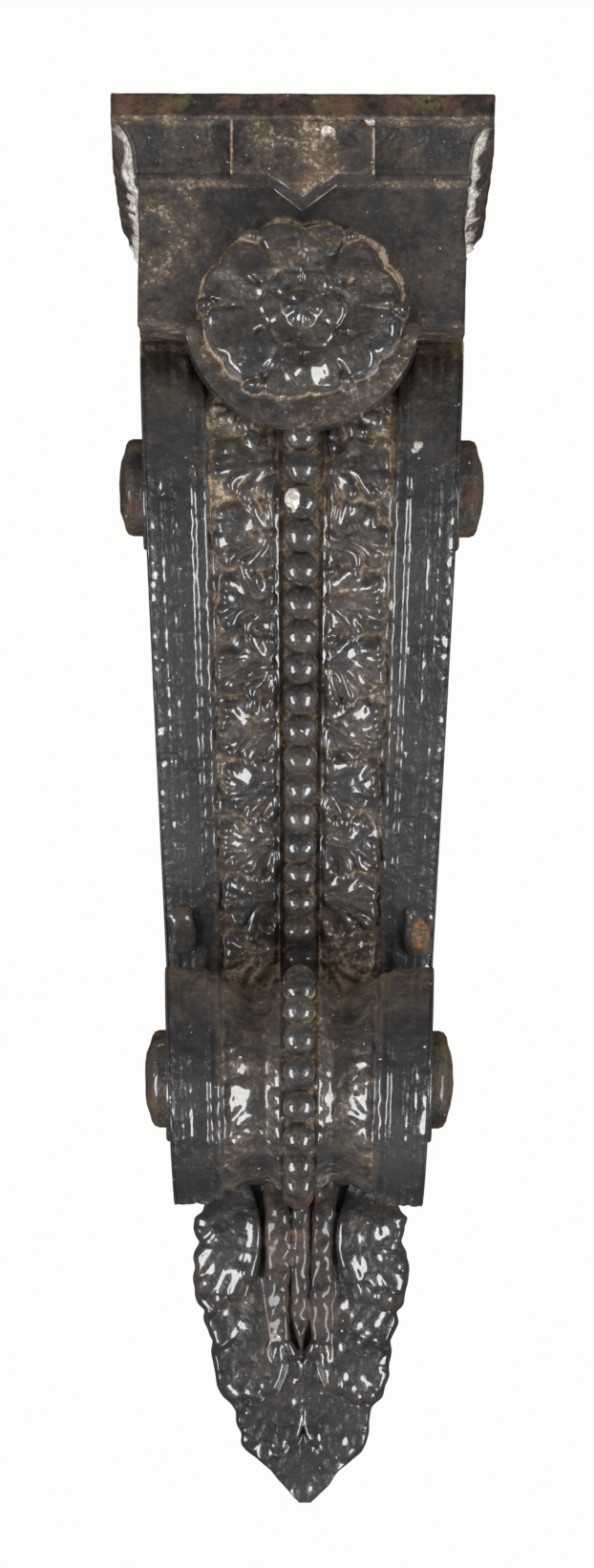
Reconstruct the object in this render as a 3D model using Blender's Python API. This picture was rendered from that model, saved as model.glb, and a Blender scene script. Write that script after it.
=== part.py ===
"""Cast iron corbel, one hollow casting: moulded cap, rosette, beaded scroll, drum and hanging leaf.

The front faces -Y and the wall is the plane y = 0. The origin is on the flat back of the cross web
behind the hollow of the scroll. Side views are worked out as (forward, up) points, where forward is -y.
"""

import math

import bmesh
import bpy
from mathutils import Matrix, Vector
from mathutils.geometry import delaunay_2d_cdt

MM = 0.001

# Scroll: two circles in side view, joined by one S curve
VOLUTE_RADIUS = 102 * MM
VOLUTE_FORWARD = 136 * MM
VOLUTE_UP = 295 * MM
VOLUTE_HALF_WIDTH = 101.9 * MM
DRUM_RADIUS = 78 * MM
DRUM_FORWARD = 113.6 * MM
DRUM_BELOW = 97.7 * MM
DRUM_HALF_WIDTH = 84.6 * MM
CURVE_TOLERANCE = 0.5 * MM
VOLUTE_LEAVES_AT = -25.0
DRUM_MET_AT = 118.0
DRUM_ENDS_AT = -115.0
UPPER_PULL = 190 * MM
LOWER_PULL = 95 * MM

# Cap: frieze block, foot fillet, cavetto and abacus
VOLUTE_IN_FRIEZE = 15 * MM
SCROLL_IN_FRIEZE = 3 * MM
FRIEZE_HEIGHT = 94 * MM
FRIEZE_HALF_WIDTH = 106 * MM
FRIEZE_FORWARD = 244 * MM
FOOT_HEIGHT = 6 * MM
FOOT_PROUD = 2 * MM
CAVETTO_HEIGHT = 32 * MM
ABACUS_HEIGHT = 17 * MM
ABACUS_HALF_WIDTH = 124.5 * MM
ABACUS_FORWARD = 264 * MM
ABACUS_LIP = 2.5 * MM
KEY_HALF_WIDTH = 46.5 * MM
KEY_POINT_HALF_WIDTH = 24 * MM
KEY_POINT_DROP = 23 * MM
KEY_POINT_PROUD = 7 * MM

# Rosette on its round disc
ROSETTE_DISC_RADIUS = 74 * MM
ROSETTE_RADIUS = 67 * MM
ROSETTE_UP_FRIEZE = 10 * MM
ROSETTE_PROUD = 4 * MM
ROSETTE_RELIEF = 10 * MM
ROSETTE_KNOB_RADIUS = 12.5 * MM
ROSETTE_KNOB_HEIGHT = 11 * MM
PETALS = 7

# Carving of the scroll's front, as shares of its half width and depths below its margin
BEAD_SHARE = 0.1163
BEAD_SINK = 8 * MM
BEAD_FILL = 0.495
FIRST_BEAD_UP = 21 * MM
DRUM_BEAD_ANGLE = 18.2
DRUM_BEAD_FIRST = 94.1
DRUM_BEADS = 11
CHANNEL_DEPTH = 15 * MM
PANEL_EDGE_DEPTH = 9 * MM
BAND_DEPTH = 4 * MM
DRUM_COVE_DEPTH = 17.5 * MM
FILLET_RISE = 4 * MM
MARGIN_STEP = 1 * MM
MARGIN_GROOVE = 2 * MM
CARVING_FADES = 25 * MM
COVE_FADES = 14 * MM
COVE_BEGINS = 20 * MM
LEAF_RELIEF = 8 * MM
LEAF_FINGERS = 4
ROWS_A_BEAD = 3

# Sides: sunk field, spiral bands and eyes
RIM_WIDTH = 15 * MM
BACK_RIM = 12 * MM
FIELD_DEPTH = 4 * MM
SPIRAL_PROUD = 0.5 * MM
EYE_RADIUS = 32 * MM
EYE_SIDES = 16
EYE_ROUND = 7 * MM
SEAT_WIDTH = 9 * MM
SEAT_PROUD = 1.5 * MM
SINK = 1 * MM
VOLUTE_EYE_OUT = 18 * MM
DRUM_EYE_OUT = 16 * MM

# Rounded pads on the margins where the scroll meets the drum
PAD_LENGTH = 38 * MM
PAD_WIDTH = 17 * MM
PAD_HEIGHT = 16 * MM
PAD_UP = 9 * MM

# Hanging leaf
LEAF_DROP = 193 * MM
LEAF_HALF_WIDTH = 71.5 * MM
LEAF_TOP_FORWARD = 64 * MM
LEAF_TIP_FORWARD = 24 * MM
LEAF_EDGE_FALL = 17 * MM
LEAF_CARVING = 6 * MM
LEAF_STEM = 8 * MM
LEAF_RIB = 14 * MM
LEAF_GROOVE = 4 * MM
LEAF_THINNEST = 6 * MM
LEAF_IN_DRUM = 30 * MM

# Hollow back
WALL = 11 * MM
WEB_THICKNESS = 24 * MM
TOP_PLATE = 20 * MM
CASTING_BEHIND = 10 * MM


def polar(centre, radius, degrees):
    """The (forward, up) point at an angle from straight ahead, on a circle."""
    angle = math.radians(degrees)
    return Vector((centre[0] + radius * math.cos(angle), centre[1] + radius * math.sin(angle)))


VOLUTE_CENTRE = (VOLUTE_FORWARD, VOLUTE_UP)
DRUM_CENTRE = (DRUM_FORWARD, -DRUM_BELOW)
FRIEZE_BOTTOM = VOLUTE_UP + VOLUTE_RADIUS - VOLUTE_IN_FRIEZE
FRIEZE_TOP = FRIEZE_BOTTOM + FRIEZE_HEIGHT
CAVETTO_BOTTOM = FRIEZE_TOP + FOOT_HEIGHT
ABACUS_BOTTOM = CAVETTO_BOTTOM + CAVETTO_HEIGHT
TOP = ABACUS_BOTTOM + ABACUS_HEIGHT
LEAF_TOP = -DRUM_BELOW - DRUM_RADIUS


def half_width(up):
    """Half the scroll's width at a height: its sides are two flat planes that draw in downwards."""
    slope = (VOLUTE_HALF_WIDTH - DRUM_HALF_WIDTH) / (VOLUTE_UP + DRUM_BELOW)
    return DRUM_HALF_WIDTH + slope * (up + DRUM_BELOW)


def scroll_path():
    """The margin of the scroll in side view, from inside the frieze to below the drum."""
    volute_steps, curve_steps, drum_steps = 120, 120, 90
    start = math.degrees(math.asin((FRIEZE_BOTTOM + SCROLL_IN_FRIEZE - VOLUTE_UP) / VOLUTE_RADIUS))
    points = []
    for step in range(volute_steps):
        angle = start + (VOLUTE_LEAVES_AT - start) * step / volute_steps
        points.append(polar(VOLUTE_CENTRE, VOLUTE_RADIUS, angle))
    leave = math.radians(VOLUTE_LEAVES_AT)
    meet = math.radians(DRUM_MET_AT)
    first = polar(VOLUTE_CENTRE, VOLUTE_RADIUS, VOLUTE_LEAVES_AT)
    last = polar(DRUM_CENTRE, DRUM_RADIUS, DRUM_MET_AT)
    second = first + UPPER_PULL * Vector((math.sin(leave), -math.cos(leave)))
    third = last - LOWER_PULL * Vector((math.sin(meet), -math.cos(meet)))
    for step in range(curve_steps):
        t = step / curve_steps
        weights = ((1 - t) ** 3, 3 * t * (1 - t) ** 2, 3 * t * t * (1 - t), t ** 3)
        points.append(sum((w * p for w, p in zip(weights, (first, second, third, last))), Vector((0, 0))))
    for step in range(drum_steps + 1):
        angle = DRUM_MET_AT + (DRUM_ENDS_AT - DRUM_MET_AT) * step / drum_steps
        points.append(polar(DRUM_CENTRE, DRUM_RADIUS, angle))
    return points


PATH = scroll_path()
ALONG = [0.0]
for before, after in zip(PATH, PATH[1:]):
    ALONG.append(ALONG[-1] + (after - before).length)
DRUM_ARC = math.radians(DRUM_MET_AT - DRUM_ENDS_AT) * DRUM_RADIUS
DRUM_START = ALONG[-1] - DRUM_ARC


def on_path(along):
    """The margin's point and its outward direction at a distance along the path."""
    index = next((i for i in range(1, len(ALONG)) if ALONG[i] >= along), len(ALONG) - 1)
    low, high = ALONG[index - 1], ALONG[index]
    share = (along - low) / (high - low)
    tangent = (PATH[index] - PATH[index - 1]).normalized()
    return PATH[index - 1].lerp(PATH[index], share), Vector((-tangent[1], tangent[0]))


def bead_places():
    """The distances along the path of the bead centres, from under the rosette to below the drum."""
    height = VOLUTE_UP + FIRST_BEAD_UP
    along = next(a for a, p in zip(ALONG, PATH) if p[1] <= height)
    places = []
    while along < DRUM_START - 2 * BEAD_SHARE * DRUM_HALF_WIDTH:
        places.append(along)
        along += 2 * BEAD_SHARE * half_width(on_path(along)[0][1])
    for bead in range(DRUM_BEADS):
        turned = math.radians(DRUM_MET_AT - DRUM_BEAD_FIRST + bead * DRUM_BEAD_ANGLE)
        places.append(DRUM_START + turned * DRUM_RADIUS)
    return places


BEADS = bead_places()


def smooth(low, high, value):
    """0 below low and 1 above high, with an eased rise between."""
    share = min(1.0, max(0.0, (value - low) / (high - low)))
    return share * share * (3 - 2 * share)


def bead_number(along):
    """How many beads lie above a place on the path, with fractions between two of them."""
    if along <= BEADS[0]:
        return (along - BEADS[0]) / (BEADS[1] - BEADS[0])
    for number in range(1, len(BEADS)):
        if along <= BEADS[number]:
            low, high = BEADS[number - 1], BEADS[number]
            return number - 1 + (along - low) / (high - low)
    return len(BEADS) - 1 + (along - BEADS[-1]) / (BEADS[-1] - BEADS[-2])


def leaf_height(across, number):
    """Relief, 0 to 1, of the small leaves beside the beads: each fans out from a stem, one to two beads."""
    unit_width, unit_length, above, below = 43.0, 44.0, 0.64, 0.34
    turn = ((number - 1) / 2 + above) % 1.0 - above
    x, y = across * unit_width + 1.0, turn * unit_length
    angle = math.degrees(math.atan2(y, x))
    if turn > below or not -64 < angle < 44:
        return 0.0
    slope = abs(math.sin(math.radians(angle))) + 1e-6
    room = unit_length * (below if y > 0 else above)
    reach = min(unit_width / math.cos(math.radians(angle)), room / slope)
    finger = math.sin(math.pi * ((angle + 64) / 108 * LEAF_FINGERS % 1.0))
    tip = max(0.0, 1 - (math.hypot(x, y) / reach) ** 4)
    return math.sqrt(tip) * (0.35 + 0.65 * finger)


def front_depth(share, along):
    """How far the carving lies below the margin, at a share of the half width and a place on the path."""
    profile = (
        (0.0, CHANNEL_DEPTH), (0.12, CHANNEL_DEPTH), (0.155, CHANNEL_DEPTH - FILLET_RISE),
        (0.2, CHANNEL_DEPTH), (0.56, PANEL_EDGE_DEPTH), (0.605, BAND_DEPTH), (0.69, BAND_DEPTH),
        (0.7, MARGIN_STEP), (0.8, MARGIN_STEP), (0.845, MARGIN_GROOVE), (0.88, 0.0), (1.0, 0.0),
    )
    depth = 0.0
    for (low, low_depth), (high, high_depth) in zip(profile, profile[1:]):
        if low <= share <= high:
            depth = low_depth + (high_depth - low_depth) * (share - low) / (high - low)
    cove = DRUM_COVE_DEPTH * smooth(0.76, 0.33, share) - (FILLET_RISE if 0.13 < share < 0.18 else 0.0)
    on_drum = smooth(DRUM_START - COVE_BEGINS, DRUM_START, along)
    depth += (max(depth, cove) - depth) * on_drum
    if 0.16 < share < 0.585:
        depth -= LEAF_RELIEF * leaf_height((share - 0.16) / 0.425, bead_number(along))
    return depth * smooth(0, CARVING_FADES, along) * smooth(ALONG[-1], ALONG[-1] - COVE_FADES, along)


def material(name, colour, roughness, metallic):
    """A plain Principled finish."""
    made = bpy.data.materials.new(name)
    made.use_nodes = True
    shader = made.node_tree.nodes["Principled BSDF"]
    shader.inputs["Base Color"].default_value = (*colour, 1.0)
    shader.inputs["Roughness"].default_value = roughness
    shader.inputs["Metallic"].default_value = metallic
    return made


def guide(name, bm):
    """An object with the mesh built so far."""
    mesh = bpy.data.meshes.new(name)
    bm.to_mesh(mesh)
    bm.free()
    made = bpy.data.objects.new(name, mesh)
    bpy.context.scene.collection.objects.link(made)
    return made


def filled(points):
    """A flat outline of many points as triangles, even where the outline is hollow."""
    spans = [max(p[axis] for p in points) - min(p[axis] for p in points) for axis in range(3)]
    kept = [axis for axis in range(3) if axis != spans.index(min(spans))]
    flat = [Vector((point[kept[0]], point[kept[1]])) for point in points]
    _, _, faces, origins, _, _ = delaunay_2d_cdt(flat, [], [list(range(len(flat)))], 1, 1e-9)
    return [[origins[corner][0] for corner in face] for face in faces]


def shape(name, points, faces):
    """A closed mesh object, in triangles and with its faces turned outwards."""
    bm = bmesh.new()
    corners = [bm.verts.new(point) for point in points]
    for face in faces:
        if len(face) <= 4:
            bm.faces.new([corners[i] for i in face])
            continue
        for triangle in filled([points[i] for i in face]):
            bm.faces.new([corners[face[i]] for i in triangle])
    bmesh.ops.triangulate(bm, faces=bm.faces[:])
    bmesh.ops.recalc_face_normals(bm, faces=bm.faces[:])
    return guide(name, bm)


def rings(name, loops):
    """A solid through closed loops of points, each with as many points as the next, capped at both ends."""
    count = len(loops[0])
    points = [point for loop in loops for point in loop]
    faces = [list(range(count)), list(range(len(points) - count, len(points)))]
    for level in range(len(loops) - 1):
        for i in range(count):
            j = (i + 1) % count
            low, high = level * count, (level + 1) * count
            faces.append([low + i, low + j, high + j, high + i])
    return shape(name, points, faces)


def joined(target, tool, operation):
    """Adds the tool to the target or cuts it away, and keeps the tool only as a guide."""
    modifier = target.modifiers.new(tool.name, "BOOLEAN")
    modifier.operation = operation
    modifier.object = tool
    tool.hide_render = True
    tool.display_type = "WIRE"
    tool.parent = target


def scroll():
    """The beaded scroll and drum, still solid: a carved front, flat sides and a flat back."""
    shares = [0.0, 0.12, 0.155, 0.2, 0.32, 0.44, 0.56, 0.605, 0.69, 0.845, 1.0]
    columns = [-share for share in reversed(shares[1:])] + shares
    last = ALONG[-1]
    first_rows = [BEADS[0] * i / 4 for i in range(4)]
    rows = first_rows[:]
    for low, high in zip(BEADS, BEADS[1:] + [last]):
        count = max(1, round(ROWS_A_BEAD * (high - low) / (BEADS[-1] - BEADS[-2])))
        rows += [low + (high - low) * i / count for i in range(count)]
    rows.append(last)
    points = []
    for along in rows:
        place, outward = on_path(along)
        for column in columns:
            spot = place - front_depth(abs(column), along) * outward
            points.append((column * half_width(spot[1]), -spot[0], spot[1]))
    wide, tall = len(columns), len(rows)
    faces = [
        [r * wide + c, r * wide + c + 1, (r + 1) * wide + c + 1, (r + 1) * wide + c]
        for r in range(tall - 1)
        for c in range(wide - 1)
    ]
    corner = len(points)
    for up in (PATH[0][1], PATH[-1][1]):
        points += [(-half_width(up), 0, up), (half_width(up), 0, up)]
    faces.append(list(range(wide)) + [corner + 1, corner])
    faces.append(list(range((tall - 1) * wide, tall * wide)) + [corner + 3, corner + 2])
    faces.append([r * wide for r in range(tall)] + [corner + 2, corner])
    faces.append([r * wide + wide - 1 for r in range(tall)] + [corner + 3, corner + 1])
    faces.append([corner, corner + 1, corner + 3, corner + 2])
    return shape("corbel", points, faces)


def thinned(points):
    """The points that a line needs to keep its shape, within a tolerance."""
    chord = points[-1] - points[0]
    across = Vector((-chord[1], chord[0])).normalized()
    offsets = [abs((point - points[0]).dot(across)) for point in points]
    furthest = offsets.index(max(offsets))
    if offsets[furthest] < CURVE_TOLERANCE:
        return [points[0], points[-1]]
    return thinned(points[:furthest + 1])[:-1] + thinned(points[furthest:])


def inset_path(inset, lowest, highest):
    """Points inside the scroll's side view, a set distance in from its margin, between two heights."""
    inside = []
    for above, here, below in zip(PATH, PATH[1:], PATH[2:]):
        tangent = (below - above).normalized()
        spot = here - inset * Vector((-tangent[1], tangent[0]))
        if lowest <= spot[1] <= highest:
            inside.append(spot)
    return thinned(inside)


def prism(name, outline, half_at):
    """A solid as wide at each height as half_at says, with the side view given by its outline."""
    left = [(-half_at(up), -forward, up) for forward, up in outline]
    right = [(half_at(up), -forward, up) for forward, up in outline]
    return rings(name, [left, right])


def side_slab(name, outline, side, inner, outer):
    """A slab on one flank of the scroll, between two distances from its flat side."""
    loops = []
    for out in (inner, outer):
        loops.append([(side * (half_width(up) + out), -forward, up) for forward, up in outline])
    return rings(name, loops)


def spiral_outline(centre, start_radius, end_radius, start_angle, end_angle, start_width, end_width):
    """The closed outline of a spiral band that winds in towards an eye."""
    steps = max(6, round(abs(end_angle - start_angle) / 27))
    outer, inner = [], []
    for step in range(steps + 1):
        share = step / steps
        angle = start_angle + (end_angle - start_angle) * share
        radius = start_radius + (end_radius - start_radius) * share
        width = start_width + (end_width - start_width) * share
        outer.append(polar(centre, radius, angle))
        inner.append(polar(centre, radius - width, angle))
    return outer + inner[::-1]


def eye(name, centre, side, out):
    """A domed boss on a stepped seat, turned about the scroll's cross axis."""
    base = side * half_width(centre[1])
    profile = (
        (EYE_RADIUS + SEAT_WIDTH, -FIELD_DEPTH - SINK), (EYE_RADIUS + SEAT_WIDTH, SEAT_PROUD),
        (EYE_RADIUS, SEAT_PROUD + SINK), (EYE_RADIUS, out - EYE_ROUND), (EYE_RADIUS - EYE_ROUND, out),
    )
    loops = []
    for radius, height in profile:
        loops.append([])
        for step in range(EYE_SIDES):
            spot = polar(centre, radius, 360 * step / EYE_SIDES)
            loops[-1].append((base + side * height, -spot[0], spot[1]))
    return rings(name, loops)


def cap():
    """Frieze block, foot fillet, cavetto and abacus, as one stack of rectangles with a flat back."""
    foot_half, foot_forward = FRIEZE_HALF_WIDTH + FOOT_PROUD, FRIEZE_FORWARD + FOOT_PROUD
    levels = [
        (FRIEZE_BOTTOM, FRIEZE_HALF_WIDTH, FRIEZE_FORWARD), (FRIEZE_TOP, FRIEZE_HALF_WIDTH, FRIEZE_FORWARD),
        (FRIEZE_TOP + SINK, foot_half, foot_forward), (CAVETTO_BOTTOM, foot_half, foot_forward),
    ]
    throat_half = ABACUS_HALF_WIDTH - ABACUS_LIP - foot_half
    throat_forward = ABACUS_FORWARD - ABACUS_LIP - foot_forward
    steps = 5
    for step in range(1, steps + 1):
        turn = math.radians(90 * step / steps)
        out = 1 - math.cos(turn)
        up = CAVETTO_BOTTOM + CAVETTO_HEIGHT * math.sin(turn)
        levels.append((up, foot_half + throat_half * out, foot_forward + throat_forward * out))
    levels.append((ABACUS_BOTTOM + SINK / 2, ABACUS_HALF_WIDTH, ABACUS_FORWARD))
    levels.append((TOP, ABACUS_HALF_WIDTH, ABACUS_FORWARD))
    loops = []
    for up, half, ahead in levels:
        loops.append([(-half, 0, up), (half, 0, up), (half, -ahead, up), (-half, -ahead, up)])
    return rings("cap", loops)


def key_panel():
    """The plain panel in the middle of the cornice, and the pointed end of its foot below."""
    back = -(FRIEZE_FORWARD - WALL)
    panel_front, point_front = -(ABACUS_FORWARD - SINK / 2), -(FRIEZE_FORWARD + KEY_POINT_PROUD)
    low = FRIEZE_TOP + 2 * SINK
    box = [(-KEY_HALF_WIDTH, low), (KEY_HALF_WIDTH, low)]
    box += [(KEY_HALF_WIDTH, ABACUS_BOTTOM + 2 * SINK), (-KEY_HALF_WIDTH, ABACUS_BOTTOM + 2 * SINK)]
    point = [(-KEY_POINT_HALF_WIDTH, CAVETTO_BOTTOM - SINK), (0, FRIEZE_TOP - KEY_POINT_DROP)]
    point.append((KEY_POINT_HALF_WIDTH, CAVETTO_BOTTOM - SINK))
    made = []
    for name, outline, front in (("key_panel", box, panel_front), ("key_point", point, point_front)):
        made.append(rings(name, [[(x, y, up) for x, up in outline] for y in (back, front)]))
    return made


def rosette():
    """A round disc with an open flower: petals with cleft ends round a domed knob."""
    centre_up = FRIEZE_BOTTOM + ROSETTE_UP_FRIEZE
    face = FRIEZE_FORWARD + ROSETTE_PROUD
    sides = 4 * PETALS

    def loop(radius_at, height_at):
        made = []
        for step in range(sides):
            angle = 2 * math.pi * step / sides
            petal = abs(math.sin(PETALS * angle / 2))
            radius = radius_at(petal)
            x, up = radius * math.sin(angle + math.pi / PETALS), radius * math.cos(angle + math.pi / PETALS)
            made.append((x, -(face + height_at(petal)), centre_up + up))
        return made

    buried = VOLUTE_FORWARD - face
    knob = ROSETTE_KNOB_RADIUS
    relief = ROSETTE_RELIEF
    loops = [
        loop(lambda p: ROSETTE_DISC_RADIUS, lambda p: buried),
        loop(lambda p: ROSETTE_DISC_RADIUS, lambda p: -2 * SINK),
        loop(lambda p: ROSETTE_DISC_RADIUS - 2 * SINK, lambda p: 0.0),
        loop(lambda p: ROSETTE_RADIUS * (0.87 + 0.13 * p), lambda p: SINK / 2),
        loop(lambda p: ROSETTE_RADIUS * (0.84 + 0.12 * p), lambda p: relief * (0.35 + 0.35 * p)),
        loop(lambda p: ROSETTE_RADIUS * 0.68, lambda p: relief * (0.3 + 0.7 * p)),
        loop(lambda p: ROSETTE_RADIUS * 0.46, lambda p: relief * (0.2 + 0.55 * p)),
        loop(lambda p: ROSETTE_RADIUS * 0.30, lambda p: relief * (0.35 + 0.2 * p)),
        loop(lambda p: knob * 1.15, lambda p: SINK),
        loop(lambda p: knob, lambda p: 0.6 * ROSETTE_KNOB_HEIGHT),
        loop(lambda p: knob * 0.5, lambda p: ROSETTE_KNOB_HEIGHT),
    ]
    return rings("rosette", loops)


def beads():
    """Every bead of the string, as one guide of separate balls that all but touch."""
    bm = bmesh.new()
    spots = []
    for along in BEADS:
        place, outward = on_path(along)
        spots.append(place - BEAD_SINK * outward)
    for number, spot in enumerate(spots):
        beside = spots[max(0, number - 1):number] + spots[number + 1:number + 2]
        gap = min((spot - other).length for other in beside)
        outward = on_path(BEADS[number])[1]
        turn = Matrix.Rotation(math.atan2(outward[0], outward[1]), 4, "X")
        place = Matrix.Translation((0, -spot[0], spot[1])) @ turn
        bmesh.ops.create_uvsphere(bm, u_segments=7, v_segments=4, radius=BEAD_FILL * gap, matrix=place)
    return guide("beads", bm)


def pad(name, side):
    """A rounded pad on the margin, just above the drum."""
    along = next(a for a, p in zip(ALONG, PATH) if p[1] <= PAD_UP)
    place, outward = on_path(along)
    x = side * (half_width(PAD_UP) - PAD_WIDTH / 2 - SINK)
    lean = math.atan2(outward[1], outward[0])
    bm = bmesh.new()
    bmesh.ops.create_cube(bm, size=1.0)
    bmesh.ops.scale(bm, verts=bm.verts[:], vec=(PAD_WIDTH, PAD_HEIGHT, PAD_LENGTH))
    bmesh.ops.bevel(bm, geom=bm.edges[:], offset=PAD_HEIGHT / 4, segments=2, profile=0.5, affect="EDGES")
    bmesh.ops.rotate(bm, verts=bm.verts[:], cent=(0, 0, 0), matrix=Matrix.Rotation(-lean, 3, "X"))
    bmesh.ops.translate(bm, verts=bm.verts[:], vec=(x, -place[0], place[1]))
    return guide(name, bm)


# Lobes down one edge of the hanging leaf: each one's start, end and half width, as shares
LEAF_LOBES = (
    (0.0, 0.115, 1.0), (0.115, 0.355, 0.99), (0.355, 0.535, 0.87), (0.535, 0.665, 0.79),
    (0.665, 0.865, 0.60), (0.865, 1.0, 0.36),
)


def leaf_lobe(drop):
    """The lobe at a share of the drop, and how far down it that is, 0 to 1."""
    for low, high, width in LEAF_LOBES:
        if drop <= high:
            return width, (drop - low) / (high - low)
    return LEAF_LOBES[-1][2], 1.0


def hanging_leaf():
    """The acanthus leaf below the drum: a central stem, two long ribs and rounded lobes down both edges."""
    columns = [0.0, 0.1, 0.16, 0.28, 0.4, 0.6, 0.8, 1.0]
    columns = [-c for c in reversed(columns[1:])] + columns
    top = LEAF_TOP + LEAF_IN_DRUM
    drops = [(LEAF_TOP - top) / LEAF_DROP]
    for low, high, _ in LEAF_LOBES:
        drops += [low + (high - low) * i / 8 for i in (0.4, 2.5, 5, 7.5)]
    points = []
    for drop in drops:
        up = LEAF_TOP - drop * LEAF_DROP
        width, down = leaf_lobe(max(0.0, drop))
        bulge = math.sqrt(max(0.0, 1 - (2 * down - 0.9) ** 2 / 1.3))
        half = LEAF_HALF_WIDTH * width * (0.86 + 0.14 * bulge)
        if drop > LEAF_LOBES[-1][0]:
            half *= math.sqrt(1 - 0.97 * down)
        spine = LEAF_TIP_FORWARD + (LEAF_TOP_FORWARD - LEAF_TIP_FORWARD) * (1 - max(0.0, drop)) ** 1.3
        for column in columns:
            side = abs(column)
            x = abs(column) * half
            rib = smooth(LEAF_STEM, LEAF_STEM + LEAF_GROOVE, x) * smooth(0.62, 0.48, drop)
            rib *= smooth(LEAF_STEM + LEAF_RIB + LEAF_GROOVE, LEAF_STEM + LEAF_RIB, x)
            stem = smooth(LEAF_STEM, LEAF_STEM - LEAF_GROOVE, x)
            lobes = smooth(0.3, 0.55, side) * bulge
            forward = spine - LEAF_EDGE_FALL * side * side * (1 - 0.5 * drop)
            forward += LEAF_CARVING * (max(0.9 * stem, rib, lobes) - 0.6)
            points.append((column * half, -max(forward, LEAF_THINNEST), up))
    wide, tall = len(columns), len(drops)
    faces = [
        [r * wide + c, r * wide + c + 1, (r + 1) * wide + c + 1, (r + 1) * wide + c]
        for r in range(tall - 1)
        for c in range(wide - 1)
    ]
    back = len(points)
    for row in range(tall):
        for edge in (row * wide, row * wide + wide - 1):
            points.append((points[edge][0], 0, points[edge][2]))
    for row in range(tall - 1):
        near, far = back + 2 * row, back + 2 * row + 2
        faces.append([row * wide, (row + 1) * wide, far, near])
        faces.append([row * wide + wide - 1, (row + 1) * wide + wide - 1, far + 1, near + 1])
        faces.append([near, far, far + 1, near + 1])
    faces.append(list(range(wide)) + [back + 1, back])
    faces.append(list(range((tall - 1) * wide, tall * wide)) + [back + 2 * tall - 1, back + 2 * tall - 2])
    return shape("hanging_leaf", points, faces)


def hollows():
    """The hollows of the open back: in the cap, behind the scroll, in the drum and behind the leaf."""
    web = WEB_THICKNESS / 2
    behind = -CASTING_BEHIND
    ledge = 2 * WALL
    floor_of_cap, roof_of_scroll = FRIEZE_BOTTOM + WALL, FRIEZE_BOTTOM - WALL
    cap_front = FRIEZE_FORWARD - WALL
    outline = [(behind, TOP - TOP_PLATE), (cap_front, TOP - TOP_PLATE)]
    outline += [(cap_front, floor_of_cap), (behind, floor_of_cap)]
    in_cap = prism("hollow_cap", outline, lambda up: FRIEZE_HALF_WIDTH - WALL)
    inside = inset_path(WALL + CHANNEL_DEPTH, web, roof_of_scroll)
    outline = [(behind, inside[0][1])] + inside + [(inside[-1][0], web), (behind, web)]
    in_scroll = prism("hollow_scroll", outline, lambda up: half_width(up) - WALL)
    throat_front = inside[0][0] - SINK
    outline = [(behind, floor_of_cap + SINK), (throat_front, floor_of_cap + SINK)]
    outline += [(throat_front, inside[0][1] - SINK), (behind, inside[0][1] - SINK)]
    throat = prism("hollow_throat", outline, lambda up: FRIEZE_HALF_WIDTH - ledge)
    inside = inset_path(WALL + DRUM_COVE_DEPTH, LEAF_TOP, -web)
    outline = [(behind, -web), (inside[0][0], -web)] + inside + [(behind, inside[-1][1])]
    in_drum = prism("hollow_drum", outline, lambda up: half_width(up) - WALL)
    leaf_high, leaf_low = LEAF_TOP - WALL, LEAF_TOP - 0.72 * LEAF_DROP
    outline = [(behind, leaf_high), (LEAF_TOP_FORWARD - LEAF_EDGE_FALL - ledge, leaf_high)]
    outline += [(LEAF_TIP_FORWARD - WALL, leaf_low), (behind, leaf_low)]
    wide, narrow = 0.6 * LEAF_HALF_WIDTH, 0.3 * LEAF_HALF_WIDTH

    def leaf_half(up):
        return narrow + (wide - narrow) * (up - leaf_low) / (leaf_high - leaf_low)

    return [in_cap, in_scroll, throat, in_drum, prism("hollow_leaf", outline, leaf_half)]


def corbel():
    """The whole casting: the scroll, its flanks, the cap, the carving and the hollow back."""
    body = scroll()
    field = inset_path(RIM_WIDTH, -DRUM_BELOW - DRUM_RADIUS, FRIEZE_BOTTOM - FIELD_DEPTH)
    field = [(BACK_RIM, field[0][1])] + field + [(BACK_RIM, field[-1][1])]
    last_turn = EYE_RADIUS + SEAT_WIDTH - SINK
    widths = (RIM_WIDTH, 0.6 * RIM_WIDTH)
    volute_band = spiral_outline(VOLUTE_CENTRE, VOLUTE_RADIUS - 3 * SINK, last_turn, 60, 600, *widths)
    drum_band = spiral_outline(DRUM_CENTRE, DRUM_RADIUS - 3 * SINK, last_turn, -105, -475, *widths)
    sunk = -FIELD_DEPTH - SINK
    for side, word in ((-1, "left"), (1, "right")):
        joined(body, side_slab("field_" + word, field, side, -FIELD_DEPTH, CASTING_BEHIND), "DIFFERENCE")
        joined(body, side_slab("volute_band_" + word, volute_band, side, sunk, SPIRAL_PROUD), "UNION")
        joined(body, side_slab("drum_band_" + word, drum_band, side, sunk, SPIRAL_PROUD), "UNION")
        joined(body, eye("volute_eye_" + word, VOLUTE_CENTRE, side, VOLUTE_EYE_OUT), "UNION")
        joined(body, eye("drum_eye_" + word, DRUM_CENTRE, side, DRUM_EYE_OUT), "UNION")
        joined(body, pad("pad_" + word, side), "UNION")
    joined(body, hanging_leaf(), "UNION")
    joined(body, cap(), "UNION")
    for piece in key_panel():
        joined(body, piece, "UNION")
    joined(body, rosette(), "UNION")
    joined(body, beads(), "UNION")
    for hollow in hollows():
        joined(body, hollow, "DIFFERENCE")
    body.data.materials.append(material("painted_cast_iron", (0.035, 0.035, 0.037), 0.35, 0.0))
    return body


for old in list(bpy.data.objects):
    bpy.data.objects.remove(old)
corbel()
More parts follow.
